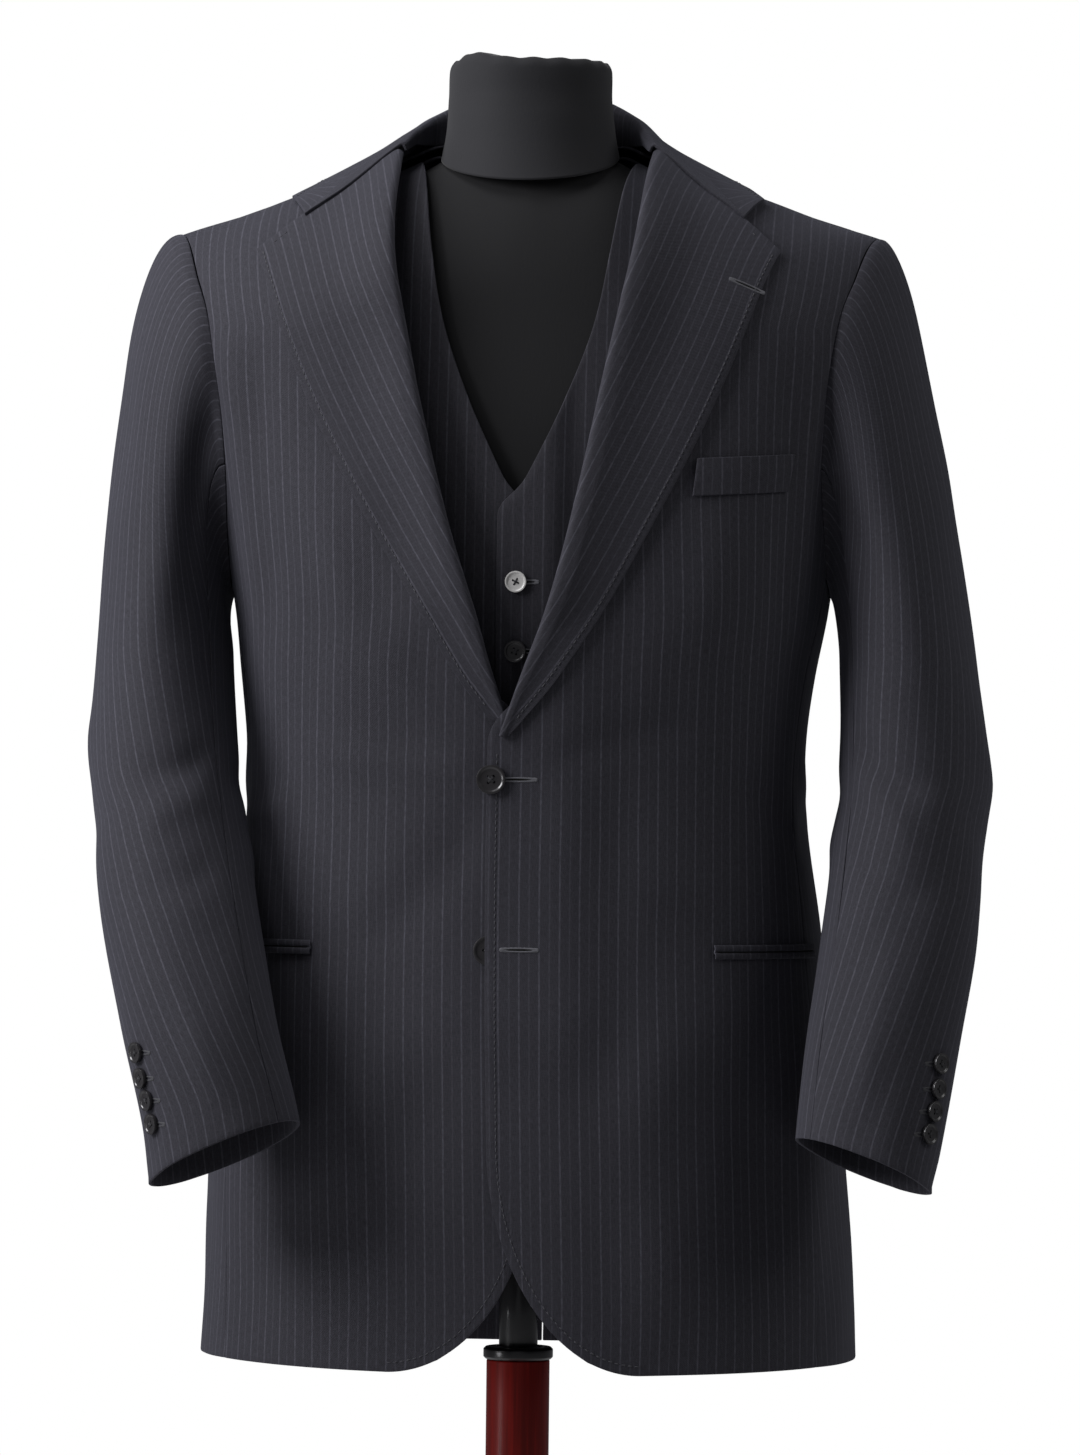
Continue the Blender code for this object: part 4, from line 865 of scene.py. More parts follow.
def jacket_back(side, name, wool, lining):
    neck = back_neck(JACKET, BACK_CENTRE, NECK_POINT, BACK_NECK)
    left = straight((neck(0)[0], HEM), neck(0))
    seam = side_seam(BACK_SEAM_HEM, BACK_SEAM_TOP, SEAM_TURN)
    hole = lambda part: back_armhole(part) + aside(SEAM_TURN)
    right = piecewise([(SEAM_ROWS, seam), (ARMHOLE_ROWS, hole)])
    ridge = shoulder_seam(NECK_POINT, SHOULDER_POINT)
    end = right(1) - turned_back(ridge(1))
    shoulder = lambda part: turned_back(ridge(part)) + end * np.asarray(part, float)[..., None]
    top = piecewise([(3, neck), (BACK_COLUMNS - 3, shoulder)])
    u, v = steps_of(BACK_COLUMNS, SEAM_ROWS + ARMHOLE_ROWS, (7, 8))
    where = patch(straight(left(0), right(0)), top, left, right, u, v)
    angle, rise = where[..., 0], where[..., 1]
    flat = arc("jacket", pair(math.pi + 0 * angle, rise)) - arc("jacket", where)
    edges = ease(np.minimum(u, 1 - u)[None] / 0.12)
    folds = (creased(BACK_CREASES[side], flat, rise) + uneven(flat, rise + 2 * side, 0.0006)) * edges
    outer = body_point(JACKET, angle, rise, folds)
    facing = rise[:-1, :-1] < HEM + FACING_HEM
    return cloth_piece(name, outer, pair(flat, rise), wool, lining, facing, side, flip=True)


# Lapels. Each row of the fold gives how far in from the roll it lies, and its share of the lapel's height
Fold = namedtuple("Fold", "step inset height")
LAPEL_FOLD = [
    Fold(0, 0.0050, -0.08),
    Fold(1, 0.0005, 0.33),
    Fold(2, 0.0030, 1.00),
    Fold(3, 0.0120, 1.00),
]


def gorge(part):
    """The lapel's top edge from the roll line: the gorge seam to the notch, then on to the tip."""
    share = GORGE_COLUMNS / (LAPEL_COLUMNS - FOLD_STEPS)
    tip = LAPEL_EDGE[-1]
    first, second = part / share, (part - share) / (1 - share)
    seam = [mix(start, end, first) for start, end in zip(GORGE_END, NOTCH)]
    free = [mix(start, end, second) for start, end in zip(NOTCH, tip)]
    rise, across = [np.where(part < share, on_seam, off_seam) for on_seam, off_seam in zip(seam, free)]
    return across, rise


def lapel_place(side, leaf, v):
    """The distance from the centre and the rise of a lapel's leaf: 0 at the fold and 1 at the outer edge."""
    bottom = LAPEL_START[side]
    fold_rise = mix(bottom, GORGE_END.rise - SEAM_GAP, v)
    edge_rise = mix(bottom, LAPEL_EDGE[-1].rise, v)
    shift = LAPEL_SHIFT[side] * below(SHIFT_FADE, edge_rise)
    edge_across = through(LAPEL_EDGE, edge_rise, "across") + shift
    top_across, top_rise = gorge(leaf)
    pull = ease((v - PULL_START) / (1 - PULL_START))
    across = mix(roll_across(side, fold_rise), edge_across, leaf)
    across = across + (top_across - mix(GORGE_END.across, LAPEL_EDGE[-1].across, leaf)) * pull
    rise = mix(fold_rise, edge_rise, leaf)
    rise = rise + (top_rise - mix(GORGE_END.rise, LAPEL_EDGE[-1].rise, leaf)) * pull
    return across, rise


def lapel_points(side, step, v):
    """The lapel's outer surface: a round fold at the roll line, then a leaf laid on the front."""
    leaf = np.clip(step - FOLD_STEPS, 0, None) / (LAPEL_COLUMNS - FOLD_STEPS)
    across, rise = lapel_place(side, leaf, v)
    across = across + through(LAPEL_FOLD, step, "inset") * (1 - leaf) * roll_share(rise)
    angle = angle_at(JACKET, across, rise)
    base = front_lift(side, angle, rise)
    thick = CLOTH + LAYER_GAP + LAPEL_SWELL * roll_share(rise) * (1 - leaf) ** 3
    share = through(LAPEL_FOLD, step, "height")
    pressed = LAYER_GAP / thick
    opening = ease((rise - LAPEL_START[side]) / LAPEL_OPENING)
    open_share = mix(pressed + share * (1 - pressed), share, opening)
    share = np.where(step < FOLD_STEPS, open_share, share)
    lift = base + thick * share
    return body_point(JACKET, angle, rise) + body_normal(JACKET, angle, rise) * lift[..., None]


def lapel(side, name, wool):
    u, v = steps_of(LAPEL_COLUMNS, LAPEL_ROWS, (5, 8))
    outer = lapel_points(side, u[None, :] * LAPEL_COLUMNS, v[:, None])
    from_edge = run_along(outer[:, ::-1], 1)[:, ::-1]
    flat = pair(from_edge, run_along(outer[:, -1], 0)[:, None])
    return cloth_piece(name, outer, flat, wool, side=side)


# The collar's left half, from the back centre to the gorge. Each station has the foot of its stand, its
# fold, the middle of its leaf and the leaf's edge
Station = namedtuple("Station", "share foot fold middle edge")
COLLAR = [
    Station(0.00, (0.0, 0.052, 1.542), (0.0, 0.063, 1.578), (0.0, 0.070, 1.557), (0.0, 0.071, 1.531)),
    Station(0.22, (0.037, 0.044, 1.543), (0.038, 0.055, 1.574), (0.047, 0.064, 1.553), (0.054, 0.068, 1.525)),
    Station(0.45, (0.064, 0.023, 1.542), (0.065, 0.030, 1.560), (0.082, 0.042, 1.542), (0.102, 0.046, 1.519)),
    Station(0.65, (0.072, 0.002, 1.541), (0.072, 0.002, 1.552), (0.094, 0.005, 1.535), (0.126, 0.013, 1.517)),
    Station(0.82, (0.075, -.018, 1.540), (0.075, -.019, 1.547), (0.099, -.015, 1.533), (0.141, -.004, 1.512)),
]
COLLAR_COLUMNS = 20
COLLAR_ROWS = 8
COLLAR_MARKS = (0, 2, 5, 8)
GORGE_GAP = SEAM_GAP + 0.001
NOTCH_GAP = SEAM_GAP + 0.0015
STAND_SINK = 0.004


def collar_end(step):
    """The collar's front end: down its stand, along the gorge to the notch, then to the leaf's corner."""
    rises = [GORGE_END.rise + GORGE_GAP, NOTCH.rise + NOTCH_GAP, COLLAR_CORNER.rise]
    acrosses = [GORGE_END.across, NOTCH.across, COLLAR_CORNER.across]
    rise = np.interp(step, COLLAR_MARKS, [rises[0]] + rises)
    across = np.interp(step, COLLAR_MARKS, [acrosses[0]] + acrosses)
    sink = STAND_SINK * np.clip(1 - step / COLLAR_MARKS[1], 0, 1)
    angle = angle_at(JACKET, across, rise)
    leaf = np.clip((step - COLLAR_MARKS[1]) / (COLLAR_ROWS - COLLAR_MARKS[1]), 0, 1)
    swell = LAPEL_SWELL * (1 - leaf) ** 3
    lift = ROLL_LIFT * ease(1 - (across - GORGE_END.across) / ROLL_REACH) + CLOTH + LAYER_GAP + swell
    return body_point(JACKET, angle, rise) + body_normal(JACKET, angle, rise) * (lift - sink)[:, None]


def collar_half(share, step):
    """The collar's outer surface on the wearer's left, with a row for each step over its profile."""
    tables = np.array([[station.foot, station.fold, station.middle, station.edge] for station in COLLAR])
    shares = [station.share for station in COLLAR]
    last = shares[-1]
    profile = along(shares, tables, np.minimum(share, last))
    points = along(COLLAR_MARKS, np.moveaxis(profile, 1, 0), step)
    part = np.clip((share - last) / (1 - last), 0, 1)
    reach = (ease(part) * 0.5 + part * 0.5)[None, :, None]
    return mix(points, collar_end(step)[:, None], reach)


def collar(name, wool):
    u, v = steps_of(COLLAR_COLUMNS, COLLAR_ROWS, (7, 5))
    share = 2 * u - 1
    outer = collar_half(np.abs(share), v * COLLAR_ROWS)
    outer[..., 0] *= np.where(share < 0, -1, 1)[None]
    length = run_along(outer[len(v) * 5 // 8], 0)
    height = run_along(outer[:, len(u) // 2], 0)
    flat = pair((length - length[len(u) // 2])[None, :], height[:, None])
    return cloth_piece(name, outer, flat, wool, hangs=False, flip=True)


# Sleeves


def ring_place(column):
    """The armhole's place at a column of its ring: up its front, down its back, then along underneath."""
    column = column % RING_COLUMNS
    rows = ARMHOLE_ROWS
    front = armhole(np.clip(column / rows, 0, 1))
    back = back_armhole(np.clip(2 - column / rows, 0, 1))
    under = underarm(np.clip((RING_COLUMNS - column) / SIDE_COLUMNS, 0, 1))
    past = (column > rows)[..., None]
    return np.where((column > 2 * rows)[..., None], under, np.where(past, back, front))


def sleeve_section(side, height, angle):
    """The point of a sleeve's own oval at a height and an angle in degrees, 0 outwards and 90 forward."""
    rows = SLEEVES[side]
    turn = np.radians(angle)
    across = through(rows, height, "across") + through(rows, height, "half_width") * np.cos(turn)
    forward = through(rows, height, "forward") - through(rows, height, "half_depth") * np.sin(turn)
    return np.stack(np.broadcast_arrays(across, forward, height), -1)


def cuff_height(side, angle):
    """The cuff's edge is square to the bent arm, so it rises towards the body and forwards."""
    turn = np.radians(angle)
    cuff = SLEEVES[side][0]
    inwards = -CUFF_SLOPE[side] * cuff.half_width * np.cos(turn)
    forwards = CUFF_PITCH * cuff.half_depth * np.sin(turn)
    return CUFF_HEIGHT[side] + (inwards + forwards)


def sleeve_angle(side, column, height):
    """The oval's angle at a column of the armhole's ring: the two seams keep to their own lines."""
    rear = through(SLEEVES[side], height, "rear_seam")
    top = (column - TOP_SLEEVE_START) / (TOP_SLEEVE_END - TOP_SLEEVE_START)
    under = (column - TOP_SLEEVE_END) / (RING_COLUMNS - TOP_SLEEVE_END + TOP_SLEEVE_START)
    return np.where(column <= TOP_SLEEVE_END, mix(FRONT_SEAM, rear, top), mix(rear, FRONT_SEAM - 360, under))


def sleeve_points(side, column, down):
    """The sleeve's outer surface: a cap that leaves the armhole, then ovals down to the cuff."""
    share = np.clip((down - CAP_SHARE) / (1 - CAP_SHARE), 0, 1)
    at_bicep = sleeve_angle(side, column, BICEP)
    height = mix(BICEP, cuff_height(side, at_bicep), share)
    angle = sleeve_angle(side, column, height)
    height = mix(BICEP, cuff_height(side, angle), share)
    arm = sleeve_section(side, height, angle)

    place = ring_place(column)
    start = body_point(JACKET, place[..., 0], place[..., 1])
    start[..., 0] += SEAM_GAP + side * through(SWAY, start[..., 2], "across")
    outwards = body_normal(JACKET, place[..., 0], place[..., 1])
    end = sleeve_section(side, BICEP, at_bicep)
    lower = sleeve_section(side, BICEP - STEP, sleeve_angle(side, column, BICEP - STEP))
    reach = np.linalg.norm(end - start, axis=-1, keepdims=True)
    under = below(CAP_FADE, start[..., 2:])
    leave = np.concatenate([1 + 0 * under, 0 * under, -CAP_FALL * under], -1)
    leave = leave + outwards * CAP_SPREAD * (1 - under)
    arrive = unit(lower - end)
    part = np.clip(down / CAP_SHARE, 0, 1)[..., None]
    rest = 1 - part
    cap = start * (1 + 2 * part) * rest**2 + end * part**2 * (3 - 2 * part)
    cap = cap + leave * (CAP_FULLNESS[side] * reach * part * rest**2)
    cap = cap - arrive * (CAP_ARRIVAL * reach * part**2 * rest)
    return np.where((down > CAP_SHARE)[..., None], arm, cap)


def sleeve(side, name, first, last, wool, lining):
    """One of a sleeve's two pieces, between two columns of the armhole's ring."""
    u, v = steps_of(last - first, SLEEVE_ROWS, (6, 12))
    column = (first + u * (last - first) + RING_SEAM * (1 - 2 * u))[None, :]
    down = 1 - v[:, None]
    outer = sleeve_points(side, column, down)
    across = (column - TOP_SLEEVE_START) * COLUMN_WIDTH
    rise = outer[..., 2]
    edges = ease(down / 0.05) * (0.35 + 0.65 * ease(np.minimum(u, 1 - u)[None] / 0.1))
    folds = creased(SLEEVE_CREASES[side], across, rise) + uneven(across, rise + side, 0.0006)
    outer = outer + normals_of(outer) * (folds * edges)[..., None]
    flat = run_along(outer, 1)
    flat = flat - flat[:, -1:] / 2
    length = run_along(outer[:, len(u) // 2], 0)
    facing = np.broadcast_to((length[:-1] < FACING_HEM)[:, None], (len(v) - 1, len(u) - 1))
    return cloth_piece(name, outer, pair(flat, length[:, None]), wool, lining, facing, side, hangs=False)


# Waistcoat


def waistcoat_lift(side, place):
    across = body_point(FORM, place[..., 0], place[..., 1])[..., 0]
    over = WAISTCOAT_LIFT * below(WAISTCOAT_FADE, across) if side > 0 else 0.0
    flat = arc("form", place)
    folds = creased(WAISTCOAT_CREASES, flat, place[..., 1]) + uneven(flat, place[..., 1] + side, 0.0003)
    return WAISTCOAT_OUT + over + folds * above(VEST_CREASE_FADE, across)


def waistcoat_hole(part):
    """The waistcoat's armhole, from the underarm to the shoulder."""
    across = WAISTCOAT_ARMHOLE[-1].across
    top = ridge_rise(FORM, across, WAISTCOAT_OUT) - SEAM_GAP / 2
    rise = mix(WAISTCOAT_UNDERARM, top, np.asarray(part, float) ** 1.5)
    place = place_at(FORM, rise, through(WAISTCOAT_ARMHOLE, rise, "across"), WAISTCOAT_OUT)
    first = WAISTCOAT_ARMHOLE[0]
    corner = QUARTER - angle_at(FORM, first.across, first.rise, WAISTCOAT_OUT)
    return place + aside(corner * (1 - ease(np.asarray(part, float) * 3)))


def waistcoat_side():
    """The side seam and the armhole above it."""
    seam = straight((QUARTER, WAISTCOAT_SIDE), (QUARTER, WAISTCOAT_UNDERARM))
    return piecewise([(WAISTCOAT_SIDE_ROWS, seam), (WAISTCOAT_HOLE_ROWS, waistcoat_hole)])


def waistcoat_edge():
    """The button edge and the V of the neck."""
    neck = WAISTCOAT_OVERLAP + NECKLINE[0].across

    def edge(part):
        return place_at(FORM, mix(WAISTCOAT_CENTRE, NECKLINE_START, part), -WAISTCOAT_OVERLAP)

    def neckline(part):
        top = ridge_rise(FORM, NECKLINE[-1].across, WAISTCOAT_OUT) - SEAM_GAP / 2
        rise = mix(NECKLINE_START, top, part)
        across = through(NECKLINE, rise, "across") - neck * (1 - ease(part * 12))
        return place_at(FORM, rise, across, WAISTCOAT_OUT)

    return piecewise([(WAISTCOAT_EDGE_ROWS, edge), (WAISTCOAT_NECK_ROWS, neckline)])


def waistcoat_front(side, name, wool):
    left = waistcoat_edge()
    side_edge = waistcoat_side()
    right = lambda part: side_edge(part) - aside(WAISTCOAT_TURN)
    centre = place_at(FORM, WAISTCOAT_CENTRE, -WAISTCOAT_OVERLAP)
    point = place_at(FORM, WAISTCOAT_POINT.rise, WAISTCOAT_POINT.across)
    hem = piecewise([(2, straight(centre, point)), (WAISTCOAT_COLUMNS - 2, straight(point, right(0)))])
    ridge = shoulder_seam(NECKLINE[-1].across, WAISTCOAT_ARMHOLE[-1].across, WAISTCOAT_OUT, FORM)
    start, end = left(1) - ridge(0), right(1) - ridge(1)
    top = lambda part: ridge(part) + mix(start, end, np.asarray(part, float)[..., None])
    u, v = steps_of(WAISTCOAT_COLUMNS, WAISTCOAT_EDGE_ROWS + WAISTCOAT_NECK_ROWS, (6, 8))
    where = patch(hem, top, left, right, u, v)
    outer = body_point(FORM, where[..., 0], where[..., 1], waistcoat_lift(side, where))
    return cloth_piece(name, outer, pair(arc("form", where), where[..., 1]), wool, side=side, hangs=False)


def waistcoat_back(name, cloth):
    """One piece from side seam to side seam, over the shoulders and under the back of the neck."""
    edge = waistcoat_side()
    first = lambda part: turned_back(edge(part)) + aside(WAISTCOAT_TURN)
    across_centre = lambda place: pair(2 * math.pi - place[..., 0], place[..., 1])
    last = lambda part: across_centre(first(part))
    neck_across = NECKLINE[-1].across
    neck = back_neck(FORM, BACK_CENTRE, neck_across, WAISTCOAT_BACK_NECK, WAISTCOAT_OUT)
    ridge = shoulder_seam(WAISTCOAT_ARMHOLE[-1].across, neck_across, WAISTCOAT_OUT, FORM)
    end = first(1) - turned_back(ridge(0))
    shoulder = lambda part: turned_back(ridge(part)) + end * (1 - np.asarray(part, float)[..., None])
    half_top = piecewise([(1, shoulder), (1, lambda part: neck(1 - np.asarray(part, float)))])

    def top(part):
        part = np.asarray(part, float)
        half = half_top(np.minimum(part, 1 - part) * 2)
        return np.where((part <= 0.5)[..., None], half, across_centre(half))

    u, v = steps_of(WAISTCOAT_BACK_COLUMNS, WAISTCOAT_SIDE_ROWS + WAISTCOAT_HOLE_ROWS, (5, 6))
    where = patch(straight(first(0), last(0)), top, first, last, u, v)
    outer = body_point(FORM, where[..., 0], where[..., 1], WAISTCOAT_OUT)
    return cloth_piece(name, outer, pair(run_along(outer, 1), where[..., 1]), cloth, hangs=False)


# Materials


def feed(tree, socket, item):
    if isinstance(item, bpy.types.NodeSocket):
        tree.links.new(item, socket)
    else:
        socket.default_value = item


def calculated(tree, operation, *items):
    node = tree.nodes.new("ShaderNodeMath")
    node.operation = operation
    for socket, item in zip(node.inputs, items):
        feed(tree, socket, item)
    return node.outputs[0]


def blended(tree, share, first, second):
    """A colour between two others."""
    node = tree.nodes.new("ShaderNodeMix")
    node.data_type = "RGBA"
    feed(tree, node.inputs["Factor"], share)
    for socket, item in ((node.inputs["A"], first), (node.inputs["B"], second)):
        feed(tree, [s for s in node.inputs if s.name == socket.name and s.type == "RGBA"][0], item)
    return [s for s in node.outputs if s.type == "RGBA"][0]


def ranged(tree, value, low, high, first, second):
    """A value carried smoothly from one range to another."""
    node = tree.nodes.new("ShaderNodeMapRange")
    node.interpolation_type = "SMOOTHSTEP"
    names = ("Value", "From Min", "From Max", "To Min", "To Max")
    for name, item in zip(names, (value, low, high, first, second)):
        feed(tree, node.inputs[name], item)
    return node.outputs["Result"]


def weighed(tree, first, second, weight):
    """A sum of two values, the first with a weight and the second with the rest."""
    first = calculated(tree, "MULTIPLY", first, weight)
    second = calculated(tree, "MULTIPLY", second, 1 - weight)
    return calculated(tree, "ADD", first, second)


def shades(tree, share, dark, light):
    """A blend of two plain colours."""
    return blended(tree, share, (*dark, 1), (*light, 1))


def scaled(colour, share):
    return tuple(share * part for part in colour)


def cloth_places(tree):
    """Where a point lies in the flat cloth."""
    node = tree.nodes.new("ShaderNodeUVMap")
    node.uv_map = "Cloth"
    return node.outputs[0]


def object_places(tree):
    """Where a point lies in its own piece."""
    return tree.nodes.new("ShaderNodeTexCoord").outputs["Object"]


def grain(tree, places, scale, size=1.0, detail=2.0):
    """Soft noise, stretched by a scale along each axis."""
    mapping = tree.nodes.new("ShaderNodeMapping")
    mapping.inputs["Scale"].default_value = scale
    tree.links.new(places, mapping.inputs["Vector"])
    noise = tree.nodes.new("ShaderNodeTexNoise")
    noise.inputs["Scale"].default_value = size
    noise.inputs["Detail"].default_value = detail
    tree.links.new(mapping.outputs[0], noise.inputs["Vector"])
    return noise.outputs["Fac"]


def bumped(tree, shader, height, distance, strength):
    bump = tree.nodes.new("ShaderNodeBump")
    bump.inputs["Distance"].default_value = distance
    bump.inputs["Strength"].default_value = strength
    tree.links.new(height, bump.inputs["Height"])
    tree.links.new(bump.outputs[0], shader.inputs["Normal"])


def started(name, **sockets):
    """A new material, its tree and its shader, with some of the shader's sockets set."""
    material = bpy.data.materials.new(name)
    material.use_nodes = True
    shader = material.node_tree.nodes["Principled BSDF"]
    for socket, item in sockets.items():
        shader.inputs[socket.replace("_", " ")].default_value = item
    return material, material.node_tree, shader


# The stripes' pitch, half widths and soft edge, and the pitch of the twill
STRIPE_PITCH = 0.0124
STRIPE_HALF = 0.00022
FAINT_HALF = 0.00018
STRIPE_SOFT = 0.0006
TWILL_PITCH = 0.0011
YARN_LENGTHWAYS, YARN_ACROSS = (2600, 240, 1), (260, 2600, 1)


def stripe(tree, across, offset, half_width):
    """A mask of thin stripes: 1 on a stripe and 0 between."""
    turns = calculated(tree, "DIVIDE", across, STRIPE_PITCH)
    phase = calculated(tree, "FRACT", calculated(tree, "ADD", turns, offset))
    away = calculated(tree, "ABSOLUTE", calculated(tree, "SUBTRACT", phase, 0.5))
    away = calculated(tree, "MULTIPLY", away, STRIPE_PITCH)
    return ranged(tree, away, half_width, half_width + STRIPE_SOFT, 1.0, 0.0)


def striped_wool(name, ground, thread, strong, faint):
    """Worsted wool with a thin stripe in each pitch and a fainter one halfway, on the cloth's own UV map."""
    material, tree, shader = started(
        name, Roughness=0.78, Specular_IOR_Level=0.25, Sheen_Weight=0.12, Sheen_Roughness=0.45
    )
    shader.inputs["Sheen Tint"].default_value = (0.80, 0.82, 1.0, 1.0)
    places = cloth_places(tree)
    axes = tree.nodes.new("ShaderNodeSeparateXYZ")
    tree.links.new(places, axes.inputs[0])
    across, down = axes.outputs[0], axes.outputs[1]
    wander = calculated(tree, "MULTIPLY", grain(tree, places, (30, 9, 1)), 0.0009)
    place = calculated(tree, "ADD", across, wander)
    broken = ranged(tree, grain(tree, places, (900, 260, 1)), 0.35, 0.65, 0.45, 1.0)
    lines = calculated(tree, "MULTIPLY", stripe(tree, place, 0.0, STRIPE_HALF), strong)
    fainter = calculated(tree, "MULTIPLY", stripe(tree, place, 0.5, FAINT_HALF), faint)
    lines = calculated(tree, "MULTIPLY", calculated(tree, "ADD", lines, fainter), broken)
    warp = grain(tree, places, YARN_LENGTHWAYS)
    weft = grain(tree, places, YARN_ACROSS)
    weave = weighed(tree, warp, weft, 0.6)
    dark, light = scaled(ground, 0.72), scaled(ground, 1.30)
    yarn = shades(tree, ranged(tree, weave, 0.36, 0.64, 0.0, 1.0), dark, light)
    cloudy = ranged(tree, grain(tree, places, (14, 9, 1)), 0.3, 0.7, 0.0, 0.22)
    yarn = blended(tree, cloudy, yarn, (*dark, 1))
    tree.links.new(blended(tree, lines, yarn, (*thread, 1)), shader.inputs["Base Color"])
    slant = calculated(tree, "MULTIPLY", calculated(tree, "ADD", across, down), 2 * math.pi / TWILL_PITCH)
    twill = calculated(tree, "MULTIPLY", calculated(tree, "SINE", slant), 0.35)
    bumped(tree, shader, calculated(tree, "ADD", twill, weave), 0.00025, 0.55)
    return material


def plain_cloth(name, colour, roughness, sheen, pitch, places=object_places):
    """A plain fine cloth: lining satin, or the form's jersey with its rows of stitches."""
    material, tree, shader = started(name, Roughness=roughness, Sheen_Weight=sheen, Specular_IOR_Level=0.3)
    where = places(tree)
    fine = grain(tree, where, (1 / pitch, 0.3 / pitch, 0.3 / pitch))
    broad = grain(tree, where, (12, 12, 12))
    colours = shades(tree, weighed(tree, fine, broad, 0.6), colour, scaled(colour, 1.35))
    tree.links.new(colours, shader.inputs["Base Color"])
    bumped(tree, shader, fine, 0.0002, 0.4)
    return material


def horn(name, dark, light, roughness):
    """Polished horn, clouded and faintly streaked. In pale colours it is a button with its glare painted in
    as a pale shell colour.
    """
    material, tree, shader = started(name, Roughness=roughness, Specular_IOR_Level=0.5, Coat_Weight=0.3)
    clouds = grain(tree, object_places(tree), (180, 320, 240), detail=3.0)
    tree.links.new(shades(tree, clouds, dark, light), shader.inputs["Base Color"])
    bumped(tree, shader, clouds, 0.0001, 0.2)
    return material


def enamel(name, colour, roughness):
    """Black enamel on steel, rubbed a little lighter here and there."""
    material, tree, shader = started(
        name, Metallic=0.0, Specular_IOR_Level=0.6, Coat_Weight=0.5, Coat_Roughness=0.1
    )
    rub = grain(tree, object_places(tree), (60, 60, 20), detail=4.0)
    tree.links.new(ranged(tree, rub, 0.3, 0.7, roughness, roughness + 0.15), shader.inputs["Roughness"])
    share = ranged(tree, rub, 0.55, 0.8, 0.0, 1.0)
    tree.links.new(shades(tree, share, colour, scaled(colour, 2.0)), shader.inputs["Base Color"])
    return material


def varnished_wood(name, dark, light):
    """Red-brown wood with its grain along the post, under varnish."""
    material, tree, shader = started(
        name, Roughness=0.45, Specular_IOR_Level=0.25, Coat_Weight=0.15, Coat_Roughness=0.2
    )
    where = object_places(tree)
    bands = grain(tree, where, (110, 110, 5), detail=3.0)
    pores = grain(tree, where, (700, 700, 22))
    share = ranged(tree, weighed(tree, bands, pores, 0.75), 0.35, 0.65, 0.0, 1.0)
    tree.links.new(shades(tree, share, dark, light), shader.inputs["Base Color"])
    bumped(tree, shader, pores, 0.0001, 0.15)
    return material


JACKET_WOOL = striped_wool("jacket_wool", (0.031, 0.030, 0.038), (0.150, 0.148, 0.182), 0.34, 0.15)
WAISTCOAT_WOOL = striped_wool("waistcoat_wool", (0.023, 0.022, 0.028), (0.12, 0.12, 0.145), 0.30, 0.14)
LINING = plain_cloth("lining_satin", (0.012, 0.012, 0.014), 0.38, 0.0, 0.0006, cloth_places)
JERSEY = plain_cloth("black_jersey", (0.0050, 0.0050, 0.0056), 0.85, 0.06, 0.0012)
HORN = horn("dark_horn", (0.012, 0.011, 0.012), (0.030, 0.028, 0.030), 0.30)
# Painted highlight: the pale shell colour stands in for the glare on the top waistcoat button, which is
# otherwise like the dark ones
GLARE_PAINTED_SHELL = horn("shell_with_painted_glare", (0.50, 0.49, 0.47), (0.72, 0.71, 0.69), 0.25)
NECK_JERSEY = plain_cloth("neck_jersey", (0.011, 0.011, 0.013), 0.80, 0.15, 0.0009)
THREAD = plain_cloth("sewing_thread", (0.020, 0.020, 0.023), 0.7, 0.2, 0.0004)
STITCH = plain_cloth("edge_stitches", (0.040, 0.040, 0.047), 0.7, 0.2, 0.0004)
HOLE_THREAD = plain_cloth("buttonhole_twist", (0.085, 0.085, 0.095), 0.6, 0.2, 0.0004)
DARK_THREAD = plain_cloth("cuff_twist", (0.035, 0.035, 0.040), 0.6, 0.2, 0.0004)
# Painted shade: a near-black material that stands for the shadow inside pocket mouths and buttonhole slits
SLIT_SHADE = plain_cloth("slit_shadow", (0.003, 0.003, 0.003), 0.95, 0.0, 0.0004)
ENAMEL = enamel("black_enamel", (0.006, 0.006, 0.007), 0.22)
MAHOGANY = varnished_wood("mahogany", (0.150, 0.0052, 0.0033), (0.360, 0.0145, 0.0092))
FLOOR = plain_cloth("pale_floor", (0.55, 0.55, 0.55), 0.8, 0.0, 0.05)


# Pockets

# The painted shadow strip in the mouth between a pocket's lips: short of the lips' ends, half its width, and
# its height
MOUTH_END = 0.012
MOUTH_HALF = 0.0005
MOUTH_HEIGHT = 0.0002


def strip(name, side, corners, grid, profile):
    """A narrow trim laid on a jacket front: its height over the front follows a profile up its depth."""
    low_first, low_last, high_first, high_last = corners
    u, v = np.linspace(0, 1, grid[0]), np.linspace(0, 1, grid[1])
    left, right = straight(low_first, high_first), straight(low_last, high_last)
    where = patch(straight(low_first, low_last), straight(high_first, high_last), left, right, u, v)
    angle, rise = where[..., 0], where[..., 1]
    ends = ease(np.minimum(u, 1 - u) / 0.02)[None]
    raised = LAYER_GAP + TRIM_THICKNESS + profile(v)[:, None] * (0.6 + 0.4 * ends)
    outer = body_point(JACKET, angle, rise, front_lift(side, angle, rise) + raised)
    flat = pair(arc("jacket", where), rise)
    return cloth_piece(name, outer, flat, JACKET_WOOL, side=side, thickness=TRIM_THICKNESS)


def breast_welt():
    inner = place_at(JACKET, WELT_INNER.rise, WELT_INNER.across)
    outer = place_at(JACKET, WELT_OUTER.rise, WELT_OUTER.across)
    drop = np.array([0, -WELT_DEPTH])
    corners = (inner + drop, outer + drop, inner, outer)
    profile = lambda v: 0.0006 * ease(v / 0.9) + 0.0003 * np.exp(-(((v - 0.5) / 0.3) ** 2))
    return strip("breast_welt_cloth", 1, corners, (60, 26), profile)


